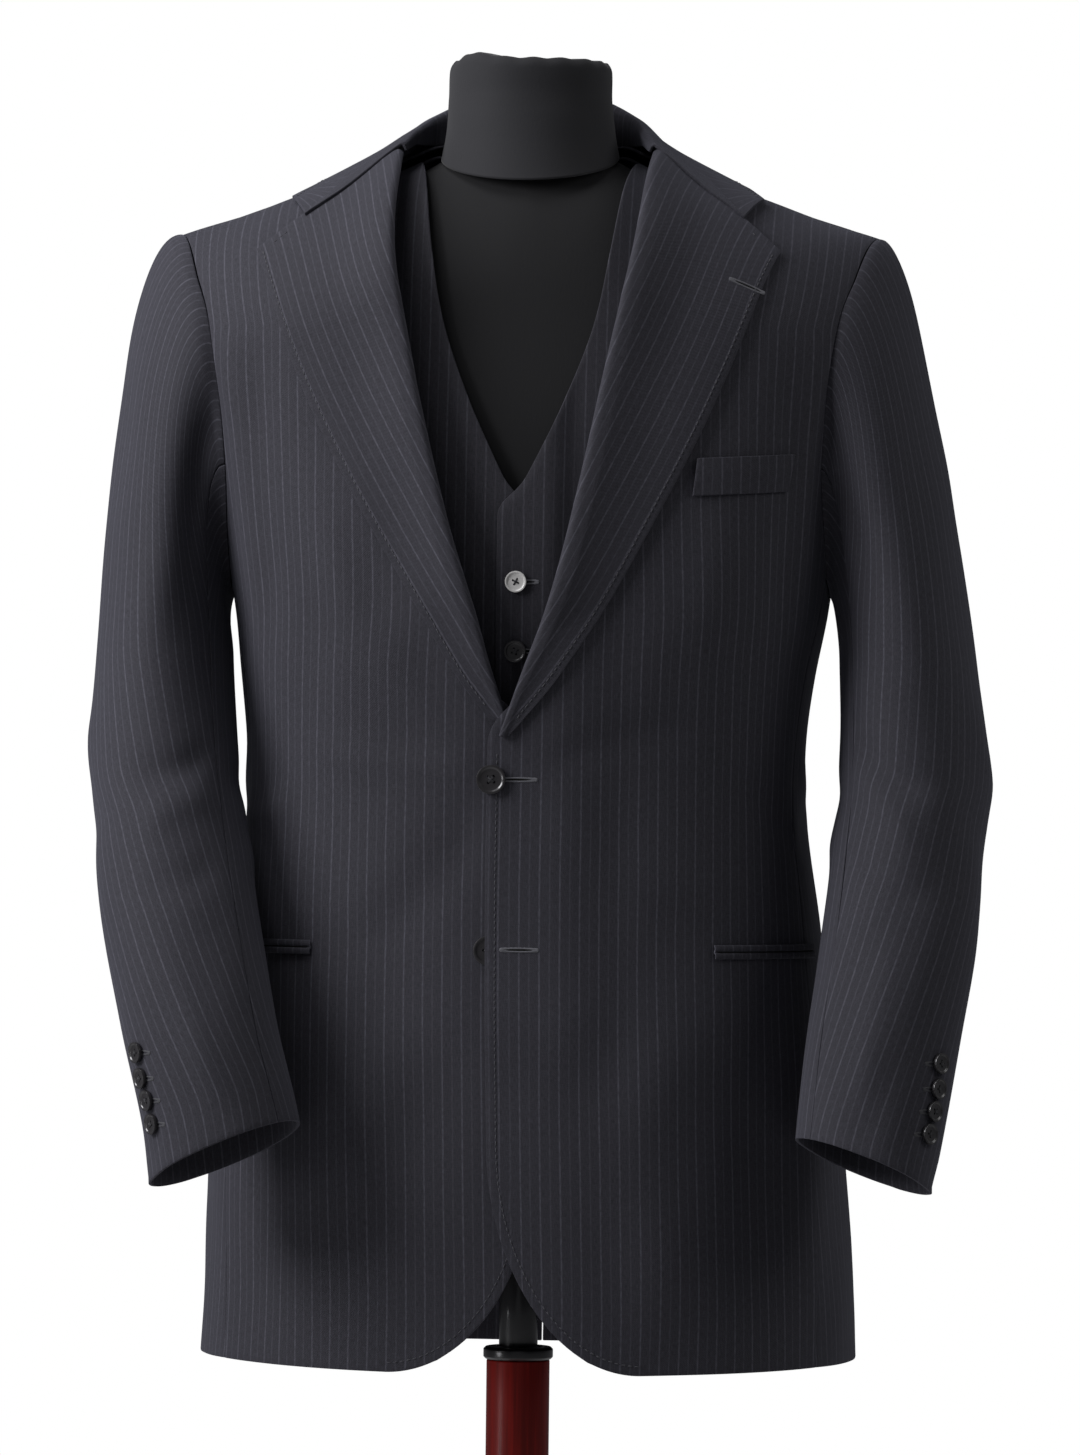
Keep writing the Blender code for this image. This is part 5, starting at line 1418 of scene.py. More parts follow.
def jet_profile(v):
    """Two lips with a groove between them."""
    lips = 0.0007 * np.abs(np.sin(2 * math.pi * v)) ** 0.6
    return lips - 0.0006 * np.exp(-(((v - 0.5) / 0.06) ** 2))


def jet_corners(start, end, low, high):
    return [np.array(place) for place in ((start, low), (end, low), (start, high), (end, high))]


def pocket_jet(side, word):
    """Two narrow lips of cloth, one above the other."""
    low, high = JET_HEIGHT - JET_DEPTH / 2, JET_HEIGHT + JET_DEPTH / 2
    corners = jet_corners(JET_START, JET_END, low, high)
    piece = strip(f"pocket_jet_cloth_{word}", side, corners, (90, 26), jet_profile)
    start, end = JET_START + MOUTH_END, JET_END - MOUTH_END
    corners = jet_corners(start, end, JET_HEIGHT - MOUTH_HALF, JET_HEIGHT + MOUTH_HALF)
    # A thin near-black strip along the mouth paints the shadow inside the pocket's opening
    slit = strip(f"pocket_mouth_shadow_{word}", side, corners, (60, 4), lambda v: MOUTH_HEIGHT + 0 * v)
    slit.data.materials.clear()
    slit.data.materials.append(SLIT_SHADE)
    return piece, slit


# Buttons, buttonholes and stitches, each modelled once round the origin and then copied


def loose(name):
    """The piece that an operator has just made, under its own name."""
    piece = bpy.context.active_object
    piece.name = name
    piece.data.name = name
    return piece


def choose(piece, test):
    """Selects a piece's faces by their middle and normal, in edit mode."""
    build = bmesh.from_edit_mesh(piece.data)
    for face in build.faces:
        face.select_set(False)
    for face in build.faces:
        if test(face.calc_center_median(), face.normal):
            face.select_set(True)
    build.select_flush(True)
    bmesh.update_edit_mesh(piece.data)


def modified(piece, kind, **settings):
    pick(piece)
    modifier = piece.modifiers.new(kind.title(), kind)
    for setting, item in settings.items():
        setattr(modifier, setting, item)
    bpy.ops.object.modifier_apply(modifier=modifier.name)


def joined(pieces):
    bpy.ops.object.select_all(action="DESELECT")
    for piece in pieces:
        piece.select_set(True)
    bpy.context.view_layer.objects.active = pieces[0]
    bpy.ops.object.join()
    return pieces[0]


# A button's parts as shares of its radius: rim, slope, well and back, and its four holes' spread and size
RIM_WIDTH, SLOPE_WIDTH, WELL_WIDTH, BACK_WIDTH = 0.14, 0.12, 0.30, 0.16
EYE_SPREAD, EYE_RADIUS = 0.20, 0.10

# The same as shares of its thickness: its dish, its well, its back, its rounded edge and its thread's height
DISH_DEPTH, WELL_DEPTH, BACK_DEPTH, BUTTON_EDGE, THREAD_HEIGHT = 0.30, 0.06, 0.001, 0.12, 0.70
STRAND_RADIUS, STRAND_SHIFT, STRAND_EDGE = 0.00026, 0.00028, 0.00012


def button_body(name, radius, high):
    """A disc with a raised rim and a dished face, its edges rounded."""
    bpy.ops.object.select_all(action="DESELECT")
    bpy.ops.mesh.primitive_cylinder_add(vertices=40, radius=radius, depth=high, location=(0, 0, high / 2))
    body = loose(name)
    bpy.ops.object.transform_apply(location=True)
    bpy.ops.object.mode_set(mode="EDIT")
    choose(body, lambda middle, normal: normal.z > 0.9)
    bpy.ops.mesh.inset(thickness=radius * RIM_WIDTH)
    bpy.ops.mesh.inset(thickness=radius * SLOPE_WIDTH)
    bpy.ops.transform.translate(value=(0, 0, -high * DISH_DEPTH))
    bpy.ops.mesh.inset(thickness=radius * WELL_WIDTH)
    bpy.ops.transform.translate(value=(0, 0, -high * WELL_DEPTH))
    choose(body, lambda middle, normal: normal.z < -0.9)
    bpy.ops.mesh.inset(thickness=radius * BACK_WIDTH)
    bpy.ops.transform.translate(value=(0, 0, -high * BACK_DEPTH))
    bpy.ops.object.mode_set(mode="OBJECT")
    angle = math.radians(30)
    modified(body, "BEVEL", width=high * BUTTON_EDGE, segments=2, limit_method="ANGLE", angle_limit=angle)
    return body


def pierce(body, radius, high):
    """Four holes through a button."""
    reach = radius * EYE_SPREAD
    cutters = []
    for across, up in ((reach, reach), (-reach, reach), (-reach, -reach), (reach, -reach)):
        bpy.ops.mesh.primitive_cylinder_add(
            vertices=14, radius=radius * EYE_RADIUS, depth=high * 3, location=(across, up, high / 2)
        )
        cutters.append(bpy.context.active_object)
    cutter = joined(cutters)
    modified(body, "BOOLEAN", object=cutter, operation="DIFFERENCE", solver="EXACT")
    bpy.data.objects.remove(cutter)


def strand(length, height, turn, shift, thread):
    """One short length of thread across a button."""
    bpy.ops.mesh.primitive_cylinder_add(
        vertices=8,
        radius=STRAND_RADIUS,
        depth=length,
        location=(-shift * math.sin(turn), shift * math.cos(turn), height),
        rotation=(0, math.pi / 2, turn),
    )
    piece = bpy.context.active_object
    bpy.ops.object.transform_apply()
    modified(piece, "BEVEL", width=STRAND_EDGE, segments=1, limit_method="ANGLE", angle_limit=EDGE_ANGLE)
    bpy.ops.object.shade_smooth()
    piece.data.materials.append(thread)
    return piece


def sewn_button(name, kind, material, thread):
    """A button with a raised rim, a dished face, four holes and crossed thread."""
    radius, high = kind
    body = button_body(name, radius, high)
    pierce(body, radius, high)
    pick(body)
    bpy.ops.object.shade_smooth_by_angle(angle=math.radians(35))
    body.data.materials.append(material)
    length = radius * EYE_SPREAD * 2.6
    strands = []
    for turn in (math.pi / 4, -math.pi / 4):
        for shift in (-STRAND_SHIFT, STRAND_SHIFT):
            strands.append(strand(length, high * THREAD_HEIGHT, turn, shift, thread))
    return joined([body, *strands])


# The round end of a buttonhole, and the length of each of its thread's ripples
HOLE_RADIUS = 0.0011
RIPPLE_LENGTH = 0.00042


def buttonhole(name, length, thread):
    """A worked buttonhole: a long ring of thread stitches round a dark disc of painted shade in its slit,
    lying along X.
    """
    reach = length / 2 - HOLE_RADIUS
    bpy.ops.object.select_all(action="DESELECT")
    bpy.ops.mesh.primitive_torus_add(
        major_radius=HOLE_RADIUS, minor_radius=HOLE_RADIUS / 2, major_segments=56, minor_segments=8
    )
    ring = loose(name)
    for vertex in ring.data.vertices:
        vertex.co.x += math.copysign(reach * min(abs(vertex.co.x) / 0.0009, 1), vertex.co.x)
        vertex.co.z *= 0.8
    modified(ring, "SUBSURF", levels=1, render_levels=1)
    for vertex in ring.data.vertices:
        ripple = math.sin(vertex.co.x / RIPPLE_LENGTH * math.pi)
        vertex.co.z *= 1 + 0.16 * ripple
        vertex.co.y *= 1 + 0.05 * ripple
    bpy.ops.object.shade_smooth()
    ring.data.materials.append(thread)
    # A dark disc in the slit paints the shade inside the buttonhole
    bpy.ops.mesh.primitive_circle_add(vertices=32, radius=0.0008, fill_type="NGON")
    slit = bpy.context.active_object
    for vertex in slit.data.vertices:
        vertex.co.x += math.copysign(reach, vertex.co.x)
    modified(slit, "SOLIDIFY", thickness=0.0003, offset=0)
    slit.data.materials.append(SLIT_SHADE)
    return joined([ring, slit])


def stitch():
    """One short stitch of thread, lying along X."""
    bpy.ops.object.select_all(action="DESELECT")
    bpy.ops.mesh.primitive_cylinder_add(
        vertices=6, radius=0.00030, depth=0.0026, rotation=(0, math.pi / 2, 0), end_fill_type="TRIFAN"
    )
    piece = loose("stitch")
    bpy.ops.object.transform_apply()
    for vertex in piece.data.vertices:
        if math.hypot(vertex.co.y, vertex.co.z) > 0.0001:
            vertex.co.x *= 0.86
            vertex.co.y *= 1.1
    bpy.ops.object.shade_smooth()
    return piece


# How far out each kind of part starts its search for the cloth, and how high it stands over it
BUTTON_REACH, HOLE_REACH, STITCH_REACH = 0.03, 0.02, 0.01
BUTTON_LIFT, STITCH_LIFT = 0.0005, 0.0001
STITCH_PITCH = 0.0042
EIGHTH_TURN = 0.7854


def hit(cloth, start, way):
    """Where a line first meets a cloth piece's outside, or nothing."""
    found, place, _, _ = cloth.ray_cast(start, way)
    return place if found else None


def middle_of(node):
    low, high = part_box(node)
    return (low + high) / 2


def axes_at(out, along_way):
    """A cloth's own directions at a place: along, up and out."""
    out = Vector(out).normalized()
    first = (Vector(along_way) - out * Vector(along_way).dot(out)).normalized()
    return first, out.cross(first), out


def copied(model, name):
    piece = bpy.data.objects.new(name, model.data.copy())
    bpy.context.scene.collection.objects.link(piece)
    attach(piece, "root")
    return piece


def seat_button(model, name, node, cloth, turn):
    """A copy of a button over its CAD place, flat on the highest of the cloth below it."""
    middle = middle_of(node)
    first, second, way = axes_at(nearest_out(cloth, middle), (math.cos(turn), 0, math.sin(turn)))
    radius = max(vertex.co.x for vertex in model.data.vertices)
    angles = [number * EIGHTH_TURN for number in range(8)]
    spots = [(0, 0)] + [(radius * math.cos(angle), radius * math.sin(angle)) for angle in angles]
    heights = []
    for across, up in spots:
        spot = middle + first * across + second * up
        met = hit(cloth, spot + way * BUTTON_REACH, -way)
        if met:
            heights.append((met - middle).dot(way))
    top = max(heights) + BUTTON_LIFT
    piece = copied(model, name)
    for vertex in piece.data.vertices:
        co = vertex.co
        vertex.co = middle + first * co.x + second * co.y + way * (co.z + top)
    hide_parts(node)
    return piece


def nearest_out(cloth, point):
    return cloth.closest_point_on_mesh(point)[2]


def lay(model, name, cloth, centre, out, along_way):
    """A copy of a small flat piece, bent onto a cloth at a place."""
    first, second, out = axes_at(out, along_way)
    piece = copied(model, name)
    for vertex in piece.data.vertices:
        co = vertex.co
        spot = Vector(centre) + first * co.x + second * co.y
        ground = hit(cloth, spot + out * HOLE_REACH, -out) or spot
        vertex.co = ground + out * co.z
    return piece


def stitch_row(name, model, cloth, places, outs):
    """Stitches in a row along a line of places on a cloth, as one piece."""
    places = [Vector(place) for place in places]
    outs = [Vector(out) for out in outs]
    marks = [0.0]
    for first, second in zip(places, places[1:]):
        marks.append(marks[-1] + (second - first).length)
    points, faces = [], []
    shape = [vertex.co.copy() for vertex in model.data.vertices]
    plan = [tuple(polygon.vertices) for polygon in model.data.polygons]
    for number in range(int(marks[-1] / STITCH_PITCH)):
        mark = (number + 0.5) * STITCH_PITCH
        index = max(i for i in range(len(marks) - 1) if marks[i] <= mark)
        part = (mark - marks[index]) / max(marks[index + 1] - marks[index], 1e-9)
        centre = places[index].lerp(places[index + 1], part)
        out = outs[index].lerp(outs[index + 1], part)
        first, second, out = axes_at(out, places[index + 1] - places[index])
        met = hit(cloth, centre + out * STITCH_REACH, -out)
        if not met:
            continue
        base = len(points)
        points += [met + first * co.x + second * co.y + out * (co.z + STITCH_LIFT) for co in shape]
        faces += [tuple(base + i for i in face) for face in plan]
    mesh = bpy.data.meshes.new(name)
    mesh.from_pydata(points, [], faces)
    mesh.shade_smooth()
    piece = new_piece(name, mesh, STITCH)
    return piece


# Dress form and stand

# The neck cover's rounded rim: its start, its height, how far it goes in, and its highest ring
RIM_START, RIM_HEIGHT, RIM_ROUND, RIM_TOP = 1.588, 0.0056, 0.0030, 1.5935
COLUMN_TOP = 1.590
BUMP_ANGLE, BUMP_WIDTH = 5.5, 0.35
DRAWN_FADE = Fade(1.550, 0.020)
BUMP_FADE = Fade(1.580, 0.010)
GATHER_FADE = Fade(1.584, 0.006)
SADDLE_FADE = Fade(1.560, 0.025)
NECK_FOOT = 0.006
SEAT_GAP = 0.0006
RIDGE_GAP = 0.0006

# The foot plate's section from below: each row is a share of its radius and one of its thickness
PLATE = (
    (0.985, 0), (1, 0.12), (1, 0.30), (0.97, 0.52), (0.93, 0.62),
    (0.86, 0.72), (0.62, 0.84), (0.42, 0.94), (0.30, 1), (0.16, 1),
)
POST_MIDDLE, STEM_MIDDLE = 0.30, 0.80
RING_EDGE = 0.0015
RING_BORE = 0.0004


def wrapped_mesh(name, points, foot, crown):
    """A closed column from rings of points, with a middle point at its foot and at its crown."""
    rows, columns = points.shape[:2]
    every = [tuple(point) for point in points.reshape(-1, 3)] + [tuple(foot), tuple(crown)]
    faces = []
    for row in range(rows - 1):
        for column in range(columns):
            after = (column + 1) % columns
            low, high = row * columns, (row + 1) * columns
            faces.append((low + column, low + after, high + after, high + column))
    last = (rows - 1) * columns
    for column in range(columns):
        after = (column + 1) % columns
        faces.append((after, column, rows * columns))
        faces.append((last + column, last + after, rows * columns + 1))
    mesh = bpy.data.meshes.new(name)
    mesh.from_pydata(every, [], faces)
    mesh.shade_smooth()
    return mesh


def form_neck(name, grow=0.0, drop=0.0):
    """The neck's jersey cover, drawn over its column and gathered a little unevenly at the rim."""
    angles = np.linspace(0, 2 * math.pi, 144, endpoint=False)[None, :]
    heights = np.concatenate([np.linspace(1.535, RIM_START, 40), [1.5897, 1.5912, 1.5924, 1.5932, 1.5936]])
    rings = np.minimum(heights, RIM_TOP)[:, None]
    drawn = 0.0006 * np.sin(angles * 5 + 30 * rings) * above(DRAWN_FADE, rings) if not grow else 0.0
    round_off = RIM_ROUND * np.clip((heights - RIM_START) / RIM_HEIGHT, 0, 1)[:, None] ** 2
    wide = through(NECK_RINGS, np.minimum(rings, COLUMN_TOP), "half_width") - round_off + grow + drawn
    deep = through(NECK_RINGS, np.minimum(rings, COLUMN_TOP), "half_depth") - round_off + grow + drawn
    forward = through(NECK_RINGS, rings, "forward")
    x, y = wide * np.sin(angles), forward - deep * np.cos(angles)
    bump = NECK_BUMP * np.exp(-(((angles - BUMP_ANGLE) / BUMP_WIDTH) ** 2)) * above(BUMP_FADE, rings)
    gathers = 0.0005 * np.sin(angles * 17) * above(GATHER_FADE, rings)
    rise = rings - NECK_SADDLE * np.abs(y) * below(SADDLE_FADE, rings) + bump + gathers - drop
    points = np.stack(np.broadcast_arrays(x, y, rise), -1)
    crown = [0, NECK_RINGS[-1].forward, NECK_RINGS[-1].height + 0.0008 - drop]
    caps = []
    for share in (0.8, 0.5, 0.2):
        caps.append(mix(np.array(crown), points[-1], share) + np.array([0, 0, 0.0004]))
    points = np.concatenate([points, np.array(caps)])
    foot = [0, NECK_RINGS[0].forward, NECK_RINGS[0].height - NECK_FOOT - drop]
    return new_piece(name, wrapped_mesh(name, points, foot, crown), NECK_JERSEY)


def form_torso(name):
    """The smooth body under the clothes, with the neck's seat cut out of it."""
    u, v = np.linspace(0, 1, 91)[None, :], np.linspace(0, 1, 76)[:, None]
    angle = mix(-QUARTER, QUARTER, u)
    across = np.abs(body_point(FORM, angle, 1.5)[..., 0])
    rise = mix(TORSO_BOTTOM, ridge_rise(FORM, across, -TORSO_EASE) - RIDGE_GAP, v)
    angle = np.broadcast_to(angle, rise.shape)
    front = body_point(FORM, angle, rise, -TORSO_EASE)
    back = body_point(FORM, math.pi - angle, rise, -TORSO_EASE)
    points = np.concatenate([front.reshape(-1, 3), back.reshape(-1, 3)])
    mesh = bpy.data.meshes.new(name)
    mesh.from_pydata(points.tolist(), [], shell_faces(*rise.shape).tolist())
    piece = new_piece(name, mesh, JERSEY)
    pick(piece)
    bpy.ops.object.mode_set(mode="EDIT")
    bpy.ops.mesh.select_all(action="SELECT")
    bpy.ops.mesh.remove_doubles(threshold=0.00002)
    bpy.ops.mesh.dissolve_degenerate(threshold=0.00001)
    bpy.ops.mesh.normals_make_consistent(inside=False)
    bpy.ops.object.mode_set(mode="OBJECT")
    seat = form_neck("neck_seat", SEAT_GAP, SEAT_GAP)
    modified(piece, "BOOLEAN", object=seat, operation="DIFFERENCE", solver="EXACT")
    bpy.data.objects.remove(seat)
    pick(piece)
    bpy.ops.object.shade_smooth_by_angle(angle=math.radians(40))
    return piece


def turned(name, node, profile, material, edge, sides=96):
    """A turned piece from the bottom up: each row of its profile lifts the top face and resizes it."""
    bpy.ops.object.select_all(action="DESELECT")
    radius, height = profile[0]
    bpy.ops.mesh.primitive_circle_add(
        vertices=sides, radius=radius, fill_type="NGON", location=(0, 0, height)
    )
    piece = loose(name)
    bpy.ops.object.transform_apply()
    bpy.ops.object.mode_set(mode="EDIT")
    bpy.ops.mesh.select_all(action="SELECT")
    for wide, high in profile[1:]:
        bpy.ops.mesh.extrude_region_move(TRANSFORM_OT_translate={"value": (0, 0, high - height)})
        share = wide / radius
        bpy.ops.transform.resize(value=(share, share, 1), center_override=(0, 0, high))
        radius, height = wide, high
    bpy.ops.mesh.select_all(action="SELECT")
    bpy.ops.mesh.normals_make_consistent(inside=False)
    bpy.ops.object.mode_set(mode="OBJECT")
    modified(piece, "BEVEL", width=edge, segments=3, limit_method="ANGLE", angle_limit=math.radians(40))
    pick(piece)
    bpy.ops.object.shade_smooth_by_angle(angle=math.radians(38))
    piece.data.materials.append(material)
    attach(piece, "root")
    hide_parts(node)
    return piece


def stand():
    """The foot plate, the post, the ring collar and the stem, each turned from its own section."""
    plate = [(wide * BASE_RADIUS, high * BASE_THICKNESS) for wide, high in PLATE]
    turned("foot_plate", "stand_base", plate, MAHOGANY, 0.0012)
    heights = (BASE_THICKNESS + SEAM_GAP, POST_MIDDLE, RING_BOTTOM - SEAM_GAP)
    post = [(POST_RADIUS, height) for height in heights]
    turned("wooden_post", "stand_post", post, MAHOGANY, 0.0010)
    flat = RING_RADIUS - RING_EDGE
    ring = [(flat, RING_BOTTOM), (RING_RADIUS, RING_BOTTOM + RING_EDGE), (RING_RADIUS, RING_TOP - RING_EDGE)]
    ring += [(flat, RING_TOP), (flat * 0.72, RING_TOP), (flat * 0.70, RING_TOP - RING_BORE)]
    turned("ring_collar", "stand_ring", ring, ENAMEL, 0.0004)
    stem = [(STEM_RADIUS, height) for height in (RING_TOP + SEAM_GAP, STEM_MIDDLE, TORSO_BOTTOM - SEAM_GAP)]
    turned("steel_stem", "stand_stem", stem, ENAMEL, 0.0004, 64)


# Lines for buttonholes and stitches

# How far in from its edge each row of stitches runs, and how far in the second line beside it lies
FRONT_INSET, LAPEL_INSET, LINE_GAP = 0.006, 0.0058, 0.004
COLLAR_ROW, COLLAR_BESIDE = 7.45, 7.2
LAPEL_DEPTH = 0.34


def worn(side, across, rise, lift=0.0):
    """A point on a jacket front as it hangs, from its distance from the centre and its rise."""
    across, rise = np.asarray(across, float), np.asarray(rise, float)
    angle = angle_at(JACKET, across, rise)
    points = body_point(JACKET, angle, rise, front_lift(side, angle, rise) + lift)
    return hung(points, side)


def hung(points, side):
    points = points * np.array([side, 1, 1])
    points[..., 0] += through(SWAY, points[..., 2], "across")
    return points


def line_outs(points, inner):
    """The direction out of the cloth along a line, from the line and a second one beside it."""
    out = np.cross(np.gradient(points, axis=0), inner - points)
    out = unit(out)
    return np.where((out[:, 1:2] > 0.2) & (points[:, 1:2] < 0), -out, out)


def front_edge_line(side, inset):
    """A line inside the jacket front's free edge, from the break down round the cutaway."""
    turns = np.linspace(0, 1, 60)
    low = hem_curve_end(1 - turns)
    edge = front_edge(side)
    rows = CUTAWAY_ROWS + EDGE_ROWS + ROLL_ROWS
    up = edge(np.linspace(0, (CUTAWAY_ROWS + EDGE_ROWS) / rows, 120))
    places = np.concatenate([low[:-1], up])
    angle, rise = places[:, 0], places[:, 1]
    across = body_point(JACKET, angle, rise)[:, 0]
    flat = pair(across, rise)
    steps = unit(np.gradient(flat, axis=0))
    inward = pair(steps[:, 1], -steps[:, 0])
    return flat + inward * inset, flat + inward * (inset + LINE_GAP)


def pick_stitches(pieces, model):
    """Rows of small stitches inside the edges of the fronts, lapels and collar."""
    for side, word in SIDES:
        line, beside = front_edge_line(side, FRONT_INSET)
        keep = line[:, 0] > -0.012
        line, beside = line[keep], beside[keep]
        points, inner = worn(side, line[:, 0], line[:, 1]), worn(side, beside[:, 0], beside[:, 1])
        cloth = pieces[f"front_cloth_{word}"]
        outs = line_outs(points, inner)
        stitch_row(f"front_stitches_{word}", model, cloth, points, outs)
        leaf, v = edge_of_lapel(side, LAPEL_INSET)
        step = leaf_step(leaf)
        points = hung(lapel_points(side, step, v), side)
        inner = hung(lapel_points(side, step - 0.1, v), side)
        outs = line_outs(points, inner)
        cloth = pieces[f"lapel_cloth_{word}"]
        stitch_row(f"lapel_stitches_{word}", model, cloth, points, outs)
    share = np.linspace(0, 0.985, 120)
    halves = collar_half(share, np.array([COLLAR_BESIDE, COLLAR_ROW]))
    beside, line = [np.concatenate([half[::-1] * np.array([-1, 1, 1]), half[1:]]) for half in halves]
    outs = unit(np.cross(np.gradient(line, axis=0), beside - line))
    outs = np.where(outs[:, 2:] < -0.1, -outs, outs)
    stitch_row("collar_stitches", model, pieces["collar_cloth"], line, outs)


def leaf_step(leaf):
    """The lapel's step at a share of its leaf, counted on from the fold."""
    return FOLD_STEPS + leaf * (LAPEL_COLUMNS - FOLD_STEPS)


def edge_of_lapel(side, inset):
    """A lapel's leaf share and row, for a line inside its outer edge that then turns along its top."""
    v = np.linspace(0.03, 1, 160)
    last, first = np.array(lapel_place(side, 1.0 + 0 * v, v)), np.array(lapel_place(side, 0 * v, v))
    width = np.linalg.norm(last - first, axis=0)
    leaf = 1 - inset / np.maximum(width, 0.012)
    top = 1 - inset / LAPEL_DEPTH
    leaf, v = leaf[v < top], v[v < top]
    along_top = np.linspace(leaf[-1], GORGE_COLUMNS / (LAPEL_COLUMNS - FOLD_STEPS) + 0.03, 24)
    return np.concatenate([leaf, along_top]), np.concatenate([v, top + 0 * along_top])


# Dressing the model


def declare(pieces, piece, node):
    """Keeps a cloth piece under its name and hides the node it stands for. It reads the piece's flat places,
    but nothing uses them.
    """
    pieces[piece.name] = piece
    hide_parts(node)
    places = np.empty(len(piece.data.loops) * 2, np.float32)
    piece.data.uv_layers["Cloth"].data.foreach_get("uv", places)
    places = places.reshape(-1, 2)


def dress_jacket():
    pieces = {}
    for side, word in SIDES:
        made = [
            (jacket_front(side, f"front_cloth_{word}", JACKET_WOOL, LINING), f"jacket_front_{word}"),
            (jacket_side(side, f"side_cloth_{word}", JACKET_WOOL, LINING), f"jacket_side_{word}"),
            (jacket_back(side, f"back_cloth_{word}", JACKET_WOOL, LINING), f"jacket_back_{word}"),
            (lapel(side, f"lapel_cloth_{word}", JACKET_WOOL), f"lapel_{word}"),
        ]
        seams = (TOP_SLEEVE_START, TOP_SLEEVE_END, TOP_SLEEVE_START + RING_COLUMNS)
        for part, first, last in zip(("top", "under"), seams, seams[1:]):
            piece = sleeve(side, f"{part}_sleeve_cloth_{word}", first, last, JACKET_WOOL, LINING)
            made.append((piece, f"{part}_sleeve_{word}"))
        jet, mouth = pocket_jet(side, word)
        made.append((jet, f"pocket_jet_{word}"))
        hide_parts(f"pocket_jet_{word}")
        for piece, node in made:
            declare(pieces, piece, node)
    declare(pieces, collar("collar_cloth", JACKET_WOOL), "collar")
    declare(pieces, breast_welt(), "breast_welt")
    return pieces


def dress_waistcoat():
    pieces = {}
    for side, word in SIDES:
        piece = waistcoat_front(side, f"waistcoat_cloth_{word}", WAISTCOAT_WOOL)
        declare(pieces, piece, f"waistcoat_front_{word}")
    piece = waistcoat_back("waistcoat_back_cloth", WAISTCOAT_WOOL)
    declare(pieces, piece, "waistcoat_back")
    return pieces


def dress_form():
    neck = form_neck("neck_cover")
    torso = form_torso("torso_cover")
    for piece, node in ((neck, "form_neck"), (torso, "form_torso")):
        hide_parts(node)


# Where the front buttonholes lie across and up, and how far the other holes lie from their buttons
FRONT_HOLES = ((0.004, UPPER_BUTTON), (0.006, LOWER_BUTTON))
VEST_HOLE_ASIDE = 0.0065
CUFF_HOLE_ASIDE = 0.0055
LAPEL_HOLE = (0.86, 0.885)
LEVEL = (1, 0, 0)


def fasten(pieces):
    """Buttons with their thread, and the worked holes beside them."""
    large = sewn_button("large_button", JACKET_BUTTON, HORN, THREAD)
    small = sewn_button("small_button", CUFF_BUTTON, HORN, THREAD)
    middle = sewn_button("middle_button", WAISTCOAT_BUTTON, HORN, THREAD)
    pale = sewn_button("pale_model", WAISTCOAT_BUTTON, GLARE_PAINTED_SHELL, THREAD)
    long_hole = buttonhole("long_hole", 0.024, HOLE_THREAD)
    short_hole = buttonhole("short_hole", 0.016, HOLE_THREAD)
    cuff_hole = buttonhole("cuff_hole", 0.013, DARK_THREAD)
    front = pieces["front_cloth_left"]
    seat_button(large, "button_upper", "jacket_button_upper", front, turn=0.1)
    seat_button(large, "button_lower", "jacket_button_lower", pieces["front_cloth_right"], turn=0.7)
    for number, place in enumerate(FRONT_HOLES):
        name = f"front_buttonhole_{number + 1}"
        lay(long_hole, name, front, worn(1, *place), (0, -1, 0.05), LEVEL)
    for number in range(WAISTCOAT_BUTTONS):
        node = f"waistcoat_button_{number + 1}"
        cloth = pieces["waistcoat_cloth_left"]
        # The top button gets the pale material, a painted highlight for its glare; the rest are plain horn
        model, slot = (pale, "pale_button") if number == 0 else (middle, "horn")
        seat_button(model, f"vest_button_{number + 1}", node, cloth, turn=0.3 + 0.9 * number)
        centre = middle_of(node) + Vector((VEST_HOLE_ASIDE, 0, 0))
        out = nearest_out(cloth, centre)
        lay(short_hole, f"vest_buttonhole_{number + 1}", cloth, centre, out, LEVEL)
    for side, word in SIDES:
        cloth = pieces[f"top_sleeve_cloth_{word}"]
        for number in range(CUFF_BUTTONS):
            name = f"{word}_{number + 1}"
            node = f"cuff_button_{name}"
            seat_button(small, f"sleeve_button_{name}", node, cloth, turn=0.4 + 1.1 * number)
            centre = middle_of(node)
            out = nearest_out(cloth, centre)
            way = Vector((0, 0, 1)).cross(out) * side
            centre -= way.normalized() * CUFF_HOLE_ASIDE
            lay(cuff_hole, f"sleeve_buttonhole_{name}", cloth, centre, out, way)
    leaf, v = [np.array([share]) for share in LAPEL_HOLE]
    spot = hung(lapel_points(1, leaf_step(leaf), v), 1)[0]
    cloth = pieces["lapel_cloth_left"]
    out = nearest_out(cloth, Vector(spot))
    lay(long_hole, "lapel_buttonhole", cloth, spot, out, (0.75, 0, -0.25))
    for model in (large, small, middle, pale, long_hole, short_hole, cuff_hole):
        bpy.data.objects.remove(model)


def dress():
    """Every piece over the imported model, each for its own node."""
    dress_form()
    stand()
    vest = dress_waistcoat()
    jacket = dress_jacket()
    bpy.context.view_layer.update()
    fasten({**vest, **jacket})
    model = stitch()
    pick_stitches(jacket, model)
    bpy.data.objects.remove(model)


# Light, floor and camera


FLOOR_RADIUS, FLOOR_HEIGHT = 2.6, -0.0005
COOL, WHITE = (0.97, 0.97, 1.0), (1.0, 1.0, 1.0)

# Each light's name, place, target, size, power and tint
LIGHTS = (
    ("key", (-1.85, -0.95, 2.15), (-0.15, 0, 1.35), 1.1, 45, COOL),
    ("shoulder_light", (-0.75, -0.35, 2.75), (-0.1, 0, 1.4), 0.9, 12, COOL),
    ("low_fill", (-2.5, -1.3, 0.75), (-0.15, 0, 0.85), 0.9, 9, COOL),
    ("high_fill", (2.3, -0.5, 2.4), (0.2, 0, 1.35), 1.4, 13, WHITE),
)

